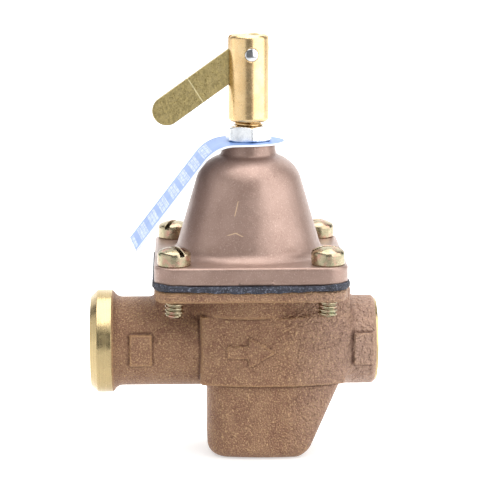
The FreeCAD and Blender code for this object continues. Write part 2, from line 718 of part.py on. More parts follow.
def disc_holder():
    """Cup that carries the rubber seat disc."""
    rim, neck = d("disc_radius") + 0.7, d("stem_radius")
    return turned_part("disc_holder", [
        (neck, 0), (rim, 0), (rim, 4.3), (d("disc_radius"), 4.3), (d("disc_radius"), 2.3), (neck, 2.3)],
        z=cage_floor + 9.5)


def seat_disc():
    return ring("seat_disc", d("stem_radius"), d("disc_radius"), 2.2, cage_floor + 11.8)


def hex_nut(label, across_flats, bore, thick, z, yaw=None):
    """Hexagon nut with both faces turned down to a chamfer."""
    body = new_body(label)
    outline = new_sketch(body, f"{label}_hexagon", "XY_Plane")
    draw_outline(outline, hexagon(across_flats))
    grow(body, f"{label}_blank", outline, thick)
    corner = across_flats / math.sqrt(3)
    drop = 0.9
    trim = new_sketch(body, f"{label}_chamfer", "XZ_Plane")
    draw_outline(trim, [
        (across_flats / 2, thick), (corner + 0.5, thick - drop), (corner + 0.5, thick + 0.5),
        (across_flats / 2, thick + 0.5)])
    spin(body, f"{label}_top_chamfer", trim, "V_Axis", cut=True)
    under = new_sketch(body, f"{label}_under_chamfer", "XZ_Plane")
    draw_outline(under, [
        (across_flats / 2, -0.5), (corner + 0.5, -0.5), (corner + 0.5, drop * 0.5), (across_flats / 2, 0)])
    spin(body, f"{label}_bottom_chamfer", under, "V_Axis", cut=True)
    hole = new_sketch(body, f"{label}_bore", "XY_Plane", (0, 0, -1))
    draw_circle(hole, 0, 0, bore)
    sink(body, f"{label}_hole", hole, thick + 2)
    place(body, z=z, yaw=yaw)
    return body


def disc_nut():
    return hex_nut("disc_nut", as_size(7.0), d("stem_radius"), as_size(3.0), cage_floor + 6.5)


def stem_nut():
    return hex_nut("stem_nut", as_size(11.0), d("stem_thread_radius"), as_size(5.0),
                   clamp_top + d("washer_thick"))


def diaphragm_washer():
    outer, thick = d("washer_radius"), d("washer_thick")
    return turned_part("diaphragm_washer", [
        (d("stem_thread_radius"), 0), (outer - 0.6, 0), (outer, 0.6, 0.6), (outer, thick),
        (d("stem_thread_radius"), thick)], z=clamp_bottom - thick)


def pressure_plate():
    """Upper plate on the diaphragm, with a low rim that centres the range spring."""
    outer, thick = d("plate_radius"), d("washer_thick")
    rim = d("range_coil_radius") + d("range_wire") / 2 + 0.6
    return turned_part("pressure_plate", [
        (d("stem_thread_radius"), 0), (outer, 0), (outer, thick), (rim + 1.4, thick), (rim + 1.0, thick + 1.2),
        (rim, thick + 1.2), (rim, thick), (d("stem_thread_radius"), thick)], z=clamp_top)


# ------------------------------------------------------------------ adjusting screw, lever and plunger
def spring_button():
    """Cap on top of the range spring that the adjusting screw bears on."""
    thick = d("button_thick")
    hub = d("range_coil_radius") - d("range_wire") / 2 - 0.5
    return turned_part("spring_button", [
        (3.0, -2.0), (hub, -2.0), (hub, 0), (12.2, 0), (12.2, thick - 0.8), (11.4, thick), (3.0, thick)],
        z=d("screw_bottom") - thick)


def adjusting_screw():
    """Threaded shank with a long round sleeve head, slotted for the lever and bored for the plunger."""
    shank, sleeve, bore = d("screw_radius"), d("sleeve_radius"), d("plunger_bore_radius")
    sleeve_bottom = d("sleeve_top") - d("sleeve_length")
    edge = 1.3
    body = turned_part("adjusting_screw", [
        (0, d("screw_bottom")), (shank - 0.8, d("screw_bottom")), (shank, d("screw_bottom") + 0.8),
        (shank, sleeve_bottom), (sleeve - edge, sleeve_bottom), (sleeve, sleeve_bottom + edge, edge),
        (sleeve, d("sleeve_top") - edge), (sleeve - edge, d("sleeve_top"), edge), (0, d("sleeve_top"))],
        yaw=d("screw_yaw"))
    half_slot = d("slot_width") / 2
    slot = new_sketch(body, "lever_slot_outline", "XZ_Plane", (0, 0, -half_slot))
    floor = d("sleeve_top") - d("slot_drop")
    draw_outline(slot, [
        (-sleeve - 1, floor), (sleeve + 1, floor), (sleeve + 1, d("sleeve_top") + 1),
        (-sleeve - 1, d("sleeve_top") + 1)])
    sink(body, "lever_slot", slot, d("slot_width"))
    cross = new_sketch(body, "pin_hole_circle", "XZ_Plane", (0, 0, -sleeve - 1))
    draw_circle(cross, 0, pin_height, d("pin_radius"))
    sink(body, "pin_hole", cross, sleeve * 2 + 2)
    core = new_sketch(body, "plunger_bore_circle", "XY_Plane", (0, 0, d("screw_bottom") - 1))
    draw_circle(core, 0, 0, bore)
    sink(body, "plunger_bore", core, plunger_top + 0.5 - d("screw_bottom") + 1)
    return body


def lever_pin():
    """Pin across the sleeve, its ends domed and level with the sleeve."""
    half, dome = d("sleeve_radius") - 0.25, 0.4
    radius = d("pin_radius")
    crown = (radius * radius + dome * dome) / (2 * dome)
    body = turned_part("lever_pin", [
        (0, -half - dome), (radius, -half, crown), (radius, half), (0, half + dome, crown)])
    body.Placement = FreeCAD.Placement(
        Vector(0, 0, pin_height.number),
        FreeCAD.Rotation(d("screw_yaw").number, 0, 90))
    bind(body, "Placement.Base.z", pin_height)
    return body


def fast_fill_lever():
    """Flat stadium-shaped brass lever; its tail is round about a point past the pin and works as a cam."""
    body = new_body("fast_fill_lever")
    half_thick = d("lever_thick") / 2
    sketch = new_sketch(body, "lever_outline", "XZ_Plane", (0, 0, -half_thick))
    half, inset, offset = d("lever_half_width"), d("lever_pin_inset"), d("lever_pin_offset")
    drop = d("lever_drop")
    along = (-cosine(drop), -sine(drop))
    across = (sine(drop), -cosine(drop))

    def spot(forward, sideways):
        """A point so far from the pin toward the tip, and so far toward the lower edge."""
        return (along[0] * forward + across[0] * sideways, along[1] * forward + across[1] * sideways)

    tail, tip = -inset, d("lever_length") - inset
    lower, upper = half - offset, -half - offset
    middle_line = -offset
    draw_outline(sketch, [
        spot(tail, lower), (*spot(tail - half, middle_line), half), (*spot(tail, upper), half),
        spot(tip, upper), (*spot(tip + half, middle_line), half), (*spot(tip, lower), half),
    ])
    grow(body, "lever_plate", sketch, d("lever_thick"))
    hole = new_sketch(body, "lever_hole_circle", "XZ_Plane", (0, 0, -half_thick - 1))
    draw_circle(hole, 0, 0, d("pin_radius") + 0.06)
    sink(body, "lever_hole", hole, d("lever_thick") + 2)
    place(body, z=pin_height, yaw=d("screw_yaw"))
    return body


def fast_fill_plunger():
    """Rod down the middle of the screw, with a round nose for the lever's cam and a groove for its seal."""
    radius = d("plunger_radius")
    groove_high = groove_low + groove_length
    return turned_part("fast_fill_plunger", [
        (0, plunger_bottom), (radius - 0.5, plunger_bottom), (radius, plunger_bottom + 0.5, 0.5),
        (radius, groove_low), (groove_radius, groove_low), (groove_radius, groove_high), (radius, groove_high),
        (radius, plunger_top - radius), (0, plunger_top, radius)])


def plunger_seal():
    """O-ring that fills the plunger's groove."""
    return ring("plunger_seal", groove_radius, d("plunger_bore_radius") - 0.03, groove_length - 0.1,
                groove_low + 0.05)


def locknut():
    return hex_nut("locknut", d("nut_across_flats"), thread_bore, d("nut_thick"), neck_top + 0.75,
                   yaw=d("nut_yaw"))


def instruction_tag():
    """Printed plastic strip held under the locknut, round at the right and bent down over the shoulder."""
    body = new_body("instruction_tag")
    half_width, thick, bend = d("tag_width") / 2, d("tag_thick"), d("tag_bend")
    slope = d("tag_slope")
    flat_end = -d("tag_flat")
    curve_x = flat_end - bend * sine(slope)
    curve_z = -(bend - bend * cosine(slope))
    inner = bend - thick
    inner_x = flat_end - inner * sine(slope)
    inner_z = -(bend - inner * cosine(slope))
    run_x, run_z = -d("tag_run") * cosine(slope), -d("tag_run") * sine(slope)
    side = new_sketch(body, "tag_side", "XZ_Plane", (0, 0, -half_width))
    draw_outline(side, [
        (d("tag_round"), -thick), (d("tag_round"), 0), (flat_end, 0), (curve_x, curve_z, bend),
        (curve_x + run_x, curve_z + run_z), (inner_x + run_x, inner_z + run_z), (inner_x, inner_z),
        (flat_end, -thick, -inner),
    ])
    grow(body, "tag_strip", side, d("tag_width"))

    trim = new_sketch(body, "tag_end_trim", "XY_Plane", (0, 0, -5))
    beyond = d("tag_round") + 2
    round_end = d("tag_round")
    for y_side in (1, -1):
        draw_outline(trim, [
            (0, y_side * (half_width + 1)), (beyond, y_side * (half_width + 1)), (beyond, 0), (round_end, 0),
            (0, y_side * round_end, y_side * round_end)])
    sink(body, "tag_round_end", trim, 10)
    hole = new_sketch(body, "tag_hole_circle", "XY_Plane", (0, 0, -5))
    draw_circle(hole, 0, 0, d("screw_radius") + 0.4)
    sink(body, "tag_hole", hole, 10)
    place(body, z=neck_top + 0.05 + thick, yaw=d("tag_yaw"))
    return body


# ------------------------------------------------------------------ build, test and write
NODES = [
    body_casting, bonnet, diaphragm, bonnet_screws, instruction_tag, seat_ring, seat_gasket, valve_cage,
    strainer_screen, check_seat, check_cage, check_poppet, check_poppet_seal, range_spring, closing_spring,
    check_spring, stem, disc_holder, seat_disc, disc_nut, diaphragm_washer, pressure_plate, stem_nut,
    spring_button, adjusting_screw, lever_pin, fast_fill_lever, fast_fill_plunger, plunger_seal, locknut,
]


def main():
    nodes = [make() for make in NODES]
    doc.recompute()
    for obj in doc.Objects:
        if "Invalid" in obj.State or "Error" in obj.State:
            raise RuntimeError(f"{obj.Label} failed: {obj.State}")
    os.makedirs("parts", exist_ok=True)
    for node in nodes:
        if node.Shape.isNull() or not node.Shape.isValid():
            raise RuntimeError(f"{node.Label} has no valid shape")
        node.Shape.exportStep(f"parts/{node.Label}.step")
        box = node.Shape.BoundBox
        print(f"{node.Label:20s} solids {len(node.Shape.Solids)} volume {node.Shape.Volume:10.1f} "
              f"x {box.XMin:.2f}..{box.XMax:.2f} y {box.YMin:.2f}..{box.YMax:.2f} "
              f"z {box.ZMin:.2f}..{box.ZMax:.2f}")


main()
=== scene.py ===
"""Looks of a bronze pressure reducing valve with a fast-fill lever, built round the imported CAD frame.

Sizes are written in millimetres, as on a drawing, and turned into metres when a piece is made.
"""

import json
import math

import bpy
import numpy as np
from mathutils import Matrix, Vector


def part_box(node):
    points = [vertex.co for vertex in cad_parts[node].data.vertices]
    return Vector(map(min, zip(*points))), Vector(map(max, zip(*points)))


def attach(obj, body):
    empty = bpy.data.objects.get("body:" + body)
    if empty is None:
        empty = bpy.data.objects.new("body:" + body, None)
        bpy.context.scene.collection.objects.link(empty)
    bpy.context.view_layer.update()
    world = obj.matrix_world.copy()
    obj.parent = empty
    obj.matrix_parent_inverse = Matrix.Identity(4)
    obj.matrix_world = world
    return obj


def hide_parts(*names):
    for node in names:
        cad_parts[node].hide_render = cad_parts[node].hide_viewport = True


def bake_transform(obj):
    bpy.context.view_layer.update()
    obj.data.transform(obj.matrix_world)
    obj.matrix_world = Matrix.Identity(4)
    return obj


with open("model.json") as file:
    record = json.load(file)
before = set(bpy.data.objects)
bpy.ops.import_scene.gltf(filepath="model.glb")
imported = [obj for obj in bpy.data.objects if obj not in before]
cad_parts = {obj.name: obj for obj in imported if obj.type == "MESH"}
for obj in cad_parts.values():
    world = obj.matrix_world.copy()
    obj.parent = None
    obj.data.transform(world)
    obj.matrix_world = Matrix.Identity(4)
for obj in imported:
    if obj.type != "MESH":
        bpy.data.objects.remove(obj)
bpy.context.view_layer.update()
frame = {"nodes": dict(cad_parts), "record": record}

# ------------------------------------------------------------------ body casting
# The pressure body is one sand-cast bronze piece: square flange, round drum, pipe run, chest and strainer bowl.
# Its outer faces keep the grain of the sand mould; the bores, the inlet collar and the port faces are turned.
MM = 0.001


def srgb(code):
    """A hex colour as linear RGBA."""
    parts = [int(code[i:i + 2], 16) / 255 for i in (1, 3, 5)]
    return tuple(c / 12.92 if c <= 0.04045 else ((c + 0.055) / 1.055) ** 2.4 for c in parts) + (1.0,)


def add(tree, kind, settings=None, links=None):
    """One node: properties and socket values from settings, and inputs fed by other nodes from links."""
    node = tree.nodes.new(kind)
    for key, value in (settings or {}).items():
        if isinstance(key, str) and hasattr(node, key):
            setattr(node, key, value)
    for key, value in (settings or {}).items():
        if not (isinstance(key, str) and hasattr(node, key)):
            node.inputs[key].default_value = value
    for key, source in (links or {}).items():
        giver, output = source if isinstance(source, tuple) else (source, 0)
        tree.links.new(giver.outputs[output], node.inputs[key])
    return node


def new_material(name):
    """A material with its shader and a coordinate in millimetres of the object."""
    material = bpy.data.materials.new(name)
    material.use_nodes = True
    tree = material.node_tree
    shader = tree.nodes["Principled BSDF"]
    place = add(tree, "ShaderNodeTexCoord")
    scaled = add(tree, "ShaderNodeMapping", {"vector_type": "POINT"}, {"Vector": (place, "Object")})
    scaled.inputs["Scale"].default_value = (1 / MM, 1 / MM, 1 / MM)
    return material, tree, shader, scaled


def grain(tree, coordinate, size, low=0.35, high=0.65, detail=2.0):
    """Noise whose lumps are about that many millimetres across, stretched to run from 0 to 1."""
    noise = add(tree, "ShaderNodeTexNoise", {"Scale": 1 / size, "Detail": detail}, {"Vector": coordinate})
    return add(tree, "ShaderNodeMapRange", {"From Min": low, "From Max": high}, {"Value": noise})


def feed(tree, taker, socket, node):
    """Links a node's result to a socket; a colour mix gives its result on its third output."""
    tree.links.new(node.outputs[2 if node.bl_idname == "ShaderNodeMix" else 0], taker.inputs[socket])


def blend_colour(tree, share, first, second):
    """Mixes two colours, or two nodes' colours, by a node's value."""
    mix = add(tree, "ShaderNodeMix", {"data_type": "RGBA"}, {0: share})
    for socket, colour in ((6, first), (7, second)):
        if isinstance(colour, str):
            mix.inputs[socket].default_value = srgb(colour)
        else:
            feed(tree, mix, socket, colour)
    return mix


def bump(tree, height, depth, below=None):
    """Raises the surface by up to that many millimetres."""
    node = add(tree, "ShaderNodeBump", {"Strength": 1.0, "Distance": depth * MM}, {"Height": height})
    if below is not None:
        tree.links.new(below.outputs[0], node.inputs["Normal"])
    return node


def roughen(tree, shader, place, low, high, size):
    """Lets the roughness drift between two values, in patches of about that many millimetres."""
    drift = add(tree, "ShaderNodeMapRange", {"To Min": low, "To Max": high}, {"Value": grain(tree, place, size)})
    feed(tree, shader, "Roughness", drift)


def sand_cast_bronze():
    """Sand-cast bronze, tumbled: matt pinkish brown, paler on its edges, partly rubbed and partly a painted
    highlight, and with painted shade in its deep corners.

    The sand leaves golden specks and pits of about half a millimetre. The outlet side is painted paler, standing
    for the light that falls on it from the right, and has a coarser, hammered look.
    """
    material, tree, shader, place = new_material("sand-cast bronze")
    tone = blend_colour(tree, grain(tree, place, 6.0), "#85624f", "#96745c")
    speck = blend_colour(tree, grain(tree, place, 0.5, 0.5, 0.76, 3.0), tone, "#cfab80")
    pits = blend_colour(tree, grain(tree, place, 0.6, 0.58, 0.84), speck, "#5c3f31")
    edge_wear_and_shade = add(tree, "ShaderNodeAttribute", {"attribute_name": "edge_wear_and_shade"})
    # Edges are made paler, partly as rubbing from tumbling and partly as a painted highlight.
    edge = add(tree, "ShaderNodeMapRange", {"From Min": 0.25, "From Max": 0.9, "To Max": 0.5},
               {"Value": (edge_wear_and_shade, "Fac")})
    # Painted shade: deep corners are darkened toward a dark brown.
    painted_hollow_shade = add(tree, "ShaderNodeMapRange", {"From Min": -0.2, "From Max": -0.8, "To Max": 0.65},
                 {"Value": (edge_wear_and_shade, "Fac")})
    worn_and_lit_edges = blend_colour(tree, edge, pits, "#b8926a")
    shader.inputs["Metallic"].default_value = 0.65
    roughen(tree, shader, place, 0.36, 0.55, 0.6)
    split = add(tree, "ShaderNodeSeparateXYZ", {}, {"Vector": place})
    right = add(tree, "ShaderNodeMapRange", {"From Min": 8.0, "From Max": 20.0}, {"Value": (split, "X")})
    # Painted light: the colour pales toward the outlet side, as if lit from the right.
    painted_right_light = add(tree, "ShaderNodeMapRange", {"From Min": 12.0, "From Max": 36.0, "To Max": 0.6},
                  {"Value": (split, "X")})
    pale = blend_colour(tree, painted_right_light, worn_and_lit_edges, "#b5998a")
    feed(tree, shader, "Base Color", blend_colour(tree, painted_hollow_shade, pale, "#5a3d30"))
    lumps = grain(tree, place, 1.5, 0.3, 0.7, 1.0)
    hammered = add(tree, "ShaderNodeMath", {"operation": "MULTIPLY"}, {0: right, 1: lumps})
    coarse = bump(tree, hammered, 0.9)
    feed(tree, shader, "Normal", bump(tree, grain(tree, place, 0.55, 0.3, 0.7, 3.0), 0.34, coarse))
    return material


def turned_bronze():
    """Bronze fresh from the lathe: bright, with fine tool lines round the run of the pipe.

    Real tool lines are too fine to show, so these are about 0.2 mm apart.
    """
    material, tree, shader, place = new_material("turned bronze")
    split = add(tree, "ShaderNodeSeparateXYZ", {}, {"Vector": place})
    line = add(tree, "ShaderNodeTexNoise", {"noise_dimensions": "1D", "Scale": 5.0, "Detail": 2.0},
               {"W": (split, "X")})
    soft = add(tree, "ShaderNodeMapRange", {"From Min": 0.3, "From Max": 0.7}, {"Value": line})
    high = srgb("#cab486")
    low = tuple(part * 0.72 for part in high[:3]) + (1.0,)
    tint = add(tree, "ShaderNodeMix", {"data_type": "RGBA", 6: low, 7: high}, {0: soft})
    feed(tree, shader, "Base Color", tint)
    shader.inputs["Metallic"].default_value = 1.0
    roughen(tree, shader, place, 0.2, 0.32, 3.0)
    feed(tree, shader, "Normal", bump(tree, soft, 0.012))
    return material


def melt(a, b, radius):
    """Joins two forms with a fillet of that radius in the corner between them."""
    inner = np.hypot(np.maximum(radius - a, 0), np.maximum(radius - b, 0))
    return np.maximum(radius, np.minimum(a, b)) - inner


def meet(a, b, radius):
    """Keeps what two forms share, with the edge between them rounded to that radius."""
    return -melt(-a, -b, radius)


def block(x, y, z, low, high, edge):
    """A block between two corners with rounded edges."""
    reach = [abs(v - (a + b) / 2) - (b - a) / 2 + edge for v, a, b in zip((x, y, z), low, high)]
    outside = np.sqrt(sum(np.maximum(r, 0) ** 2 for r in reach))
    return outside + np.minimum(np.maximum(np.maximum(reach[0], reach[1]), reach[2]), 0) - edge


def slab(flat, height, low, high, edge):
    """A flat outline carried from one height to another."""
    across = abs(height - (low + high) / 2) - (high - low) / 2
    return meet(flat, across, edge) if edge else np.maximum(flat, across)


def rounded_square(x, y, half, corner):
    """A square outline with rounded corners."""
    u, v = abs(x) - half + corner, abs(y) - half + corner
    return np.hypot(np.maximum(u, 0), np.maximum(v, 0)) + np.minimum(np.maximum(u, v), 0) - corner


def skin(form, low, high, step, settle=4):
    """Meshes the surface where a form is 0: a vertex in each cell that it crosses, pulled onto it.

    Gives the points, the faces and the normals.
    """
    axes = [np.arange(a - step, b + 2 * step, step) for a, b in zip(low, high)]
    grid = np.stack(np.meshgrid(*axes, indexing="ij"), axis=-1)
    value = form(grid[..., 0], grid[..., 1], grid[..., 2])
    cells = tuple(n - 1 for n in value.shape)
    total, count = np.zeros(cells + (3,)), np.zeros(cells)
    crossings = []
    for axis in range(3):
        u, v = [i for i in range(3) if i != axis]
        near = tuple(slice(None, -1) if i == axis else slice(None) for i in range(3))
        far = tuple(slice(1, None) if i == axis else slice(None) for i in range(3))
        cross = (value[near] < 0) != (value[far] < 0)
        share = value[near] / np.where(cross, value[near] - value[far], 1)
        spot = grid[near].copy()
        spot[..., axis] += np.where(cross, share, 0) * step
        for du in (0, 1):
            for dv in (0, 1):
                pick = [slice(None)] * 3
                pick[u], pick[v] = slice(du, du + cells[u]), slice(dv, dv + cells[v])
                total += spot[tuple(pick)] * cross[tuple(pick)][..., None]
                count += cross[tuple(pick)]
        crossings.append((axis, u, v, cross, value[near] < 0))
    number = np.full(cells, -1)
    number[count > 0] = np.arange(np.count_nonzero(count))
    points = total[count > 0] / count[count > 0][:, None]
    faces = []
    for axis, u, v, cross, starts_inside in crossings:
        inner = tuple(slice(None) if i == axis else slice(1, -1) for i in range(3))
        spots = np.argwhere(cross[inner])
        corners = []
        for du, dv in ((0, 0), (1, 0), (1, 1), (0, 1)):
            cell = spots.copy()
            cell[:, u] += du
            cell[:, v] += dv
            corners.append(number[tuple(cell.T)])
        ring = np.stack(corners, axis=1)
        back = starts_inside[inner][tuple(spots.T)] == (axis == 1)
        ring[back] = ring[back][:, ::-1]
        faces.append(ring)

    def slope(at):
        """How steeply the form rises along X, Y and Z."""
        nudges = 0.02 * np.eye(3)
        moved = [form(*(at + nudge).T) - form(*(at - nudge).T) for nudge in nudges]
        return np.stack(moved, axis=1) / (2 * 0.02)

    for _ in range(settle):
        steep = slope(points)
        pull = form(*points.T)[:, None] * steep / np.maximum((steep ** 2).sum(1), 0.2)[:, None]
        points = points - np.clip(pull, -step / 2, step / 2)
    normals = slope(points)
    normals /= np.maximum(np.linalg.norm(normals, axis=1), 1e-9)[:, None]
    return points, np.concatenate(faces), normals


def soften(corners, steps=5):
    """Rounds each corner of a closed anticlockwise outline by its third number; gives points and normals."""
    points, normals = [], []
    for index, (x, y, radius) in enumerate(corners):
        here = np.array((x, y), float)
        back = np.array(corners[index - 1][:2]) - here
        onward = np.array(corners[(index + 1) % len(corners)][:2]) - here
        back, onward = back / np.linalg.norm(back), onward / np.linalg.norm(onward)
        half = math.acos(max(-1, min(1, back @ onward))) / 2
        middle = (back + onward) / np.linalg.norm(back + onward)
        centre = here + middle * radius / math.sin(half)
        first = here + back * radius / math.tan(half) - centre
        last = here + onward * radius / math.tan(half) - centre
        start = math.atan2(first[1], first[0])
        turn = (math.atan2(last[1], last[0]) - start + math.pi) % (2 * math.pi) - math.pi
        side = 1 if turn > 0 else -1
        for k in range(steps + 1):
            angle = start + turn * k / steps
            direction = np.array((math.cos(angle), math.sin(angle)))
            points.append(centre + direction * radius)
            normals.append(direction * side)
    return np.array(points), np.array(normals)


def lathe(corners, axis="Z", around=160):
    """Turns a closed outline of (radius, place along the axis, rounding) about an axis."""
    outline, slopes = soften(corners)
    angles = np.arange(around) * 2 * math.pi / around

    def spun(flat):
        """The outline's points or normals, repeated round the axis."""
        swept = np.stack([
            flat[:, None, 0] * np.cos(angles), flat[:, None, 0] * np.sin(angles),
            np.repeat(flat[:, None, 1], around, axis=1)], axis=-1).reshape(-1, 3)
        return swept if axis == "Z" else swept[:, [2, 0, 1]]

    i, j = np.meshgrid(np.arange(len(outline)), np.arange(around), indexing="ij")
    after, beside = (i + 1) % len(outline), (j + 1) % around
    faces = np.stack([
        i * around + j, i * around + beside, after * around + beside, after * around + j], axis=-1)
    return spun(outline), faces.reshape(-1, 4), spun(slopes)


def coil_tree():
    """Geometry nodes for whatever winds round an axis: a spring's wire or the ridge of a thread."""
    tree = bpy.data.node_groups.new("wound coil", "GeometryNodeTree")
    for kind, names in (("Float", ("Radius", "Height", "Turns", "Wire Radius")),
                        ("Int", ("Sides", "Points per Turn")), ("Material", ("Material",))):
        for name in names:
            tree.interface.new_socket(name, in_out="INPUT", socket_type="NodeSocket" + kind)
    tree.interface.new_socket("Geometry", in_out="OUTPUT", socket_type="NodeSocketGeometry")
    given = add(tree, "NodeGroupInput")
    spiral = add(tree, "GeometryNodeCurveSpiral", {}, {
        "Resolution": (given, "Points per Turn"), "Rotations": (given, "Turns"),
        "Start Radius": (given, "Radius"), "End Radius": (given, "Radius"), "Height": (given, "Height")})
    upright = add(tree, "GeometryNodeSetCurveNormal", {"mode": "Z_UP"}, {"Curve": spiral})
    section = add(tree, "GeometryNodeCurvePrimitiveCircle", {}, {
        "Resolution": (given, "Sides"), "Radius": (given, "Wire Radius")})
    wire = add(tree, "GeometryNodeCurveToMesh", {"Fill Caps": True}, {
        "Curve": upright, "Profile Curve": section})
    real = add(tree, "GeometryNodeRealizeInstances", {}, {"Geometry": wire})
    done = add(tree, "GeometryNodeSetMaterial", {}, {"Geometry": real, "Material": (given, "Material")})
    add(tree, "NodeGroupOutput", {}, {"Geometry": done})
    return tree


def grown(tree, name, inputs, start=None):
    """Runs a node tree on a mesh and gives back the plain mesh."""
    holder = bpy.data.objects.new(name, start or bpy.data.meshes.new(name))
    bpy.context.collection.objects.link(holder)
    modifier = holder.modifiers.new(name, "NODES")
    modifier.node_group = tree
    for item in tree.interface.items_tree:
        if item.in_out == "INPUT" and item.name in inputs:
            modifier[item.identifier] = inputs[item.name]
    bpy.context.view_layer.update()
    graph = bpy.context.evaluated_depsgraph_get()
    mesh = bpy.data.meshes.new_from_object(holder.evaluated_get(graph))
    holder.modifiers.remove(modifier)
    bpy.data.objects.remove(holder)
    return mesh


coils = coil_tree()


def wind(radius, height, turns, wire, sides=16, per_turn=48, centre=(0, 0, 0), axis="Z"):
    """One wound coil, from its centre upward or along X: its points, faces and normals."""
    mesh = grown(coils, "coil", {
        "Radius": float(radius), "Height": float(height), "Turns": float(turns), "Wire Radius": float(wire),
        "Sides": sides, "Points per Turn": per_turn})
    points = np.array([v.co for v in mesh.vertices], float)
    normals = np.array([v.normal for v in mesh.vertices], float)
    faces = [list(p.vertices) for p in mesh.polygons]
    if axis == "X":
        points, normals = points[:, [2, 0, 1]], normals[:, [2, 0, 1]]
    bpy.data.meshes.remove(mesh)
    return points + np.array(centre), faces, normals


def make_piece(name, parts, finishes, values=None):
    """One object from parts of (points, faces, normals) in millimetres, each with its own finish."""
    points = np.concatenate([part[0] for part in parts]) * MM
    normals = np.concatenate([part[2] for part in parts])
    faces, which, offset = [], [], 0
    for index, part in enumerate(parts):
        faces += [[int(v) + offset for v in face] for face in part[1]]
        which += [index] * len(part[1])
        offset += len(part[0])
    mesh = bpy.data.meshes.new(name)
    mesh.from_pydata(points.tolist(), [], faces)
    for finish in finishes:
        mesh.materials.append(finish)
    mesh.polygons.foreach_set("material_index", [min(i, len(finishes) - 1) for i in which])
    mesh.polygons.foreach_set("use_smooth", [True] * len(faces))
    for key, numbers in (values or {}).items():
        attribute = mesh.attributes.new(key, "FLOAT", "POINT")
        padded = np.zeros(len(points), np.float32)
        padded[:len(numbers)] = numbers
        attribute.data.foreach_set("value", padded)
    mesh.normals_split_custom_set_from_vertices(normals.tolist())
    piece = bpy.data.objects.new(name, mesh)
    bpy.context.collection.objects.link(piece)
    return piece


PIPE_Z = frame["record"]["mounts"][0]["pos_m"][2] / MM
CAST_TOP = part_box("body_casting")[1].z / MM
CAST_LEFT, CAST_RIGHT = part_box("body_casting")[0].x / MM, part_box("body_casting")[1].x / MM
BOLT = 25.0
CORNER = 6.5
FLANGE_HALF, FLANGE_THICK = 31.6, 3.9
UNDER_FLANGE = CAST_TOP - 1.5
DRUM_RADIUS, DRUM_FOOT = 21.6, 48.7
PIPE_RADIUS, FLARE_RADIUS = 15.0, 17.0
BOW_MIDDLE, BOW_RADIUS, BOW_FRONT = 6.2, 80.0, 21.0
CHEST_LEFT, CHEST_RIGHT, CHEST_FOOT, CHEST_HEAD, CHEST_SWELL = -16.6, 31.8, 25.5, 48.9, -1.5
BOWL_LEFT, BOWL_HIGH, BOWL_SWELL = -14.2, 30.0, -2.9
PAD_FRONT, PAD_HALF = 15.6, 5.4
ARROW_RISE = 0.4
PORT_RADIUS = 10.6


def bow(x, y, swell):
    """How far a spot lies outside the bowed front and back of the chest."""
    return np.hypot(x - BOW_MIDDLE, abs(y) + BOW_RADIUS - BOW_FRONT) - BOW_RADIUS - swell


def bowed(x, y, swell, left, right, corner):
    """Plan of the chest and the bowl: bowed front and back between two flat sides."""
    return meet(bow(x, y, swell), np.maximum(left - x, x - right), corner)


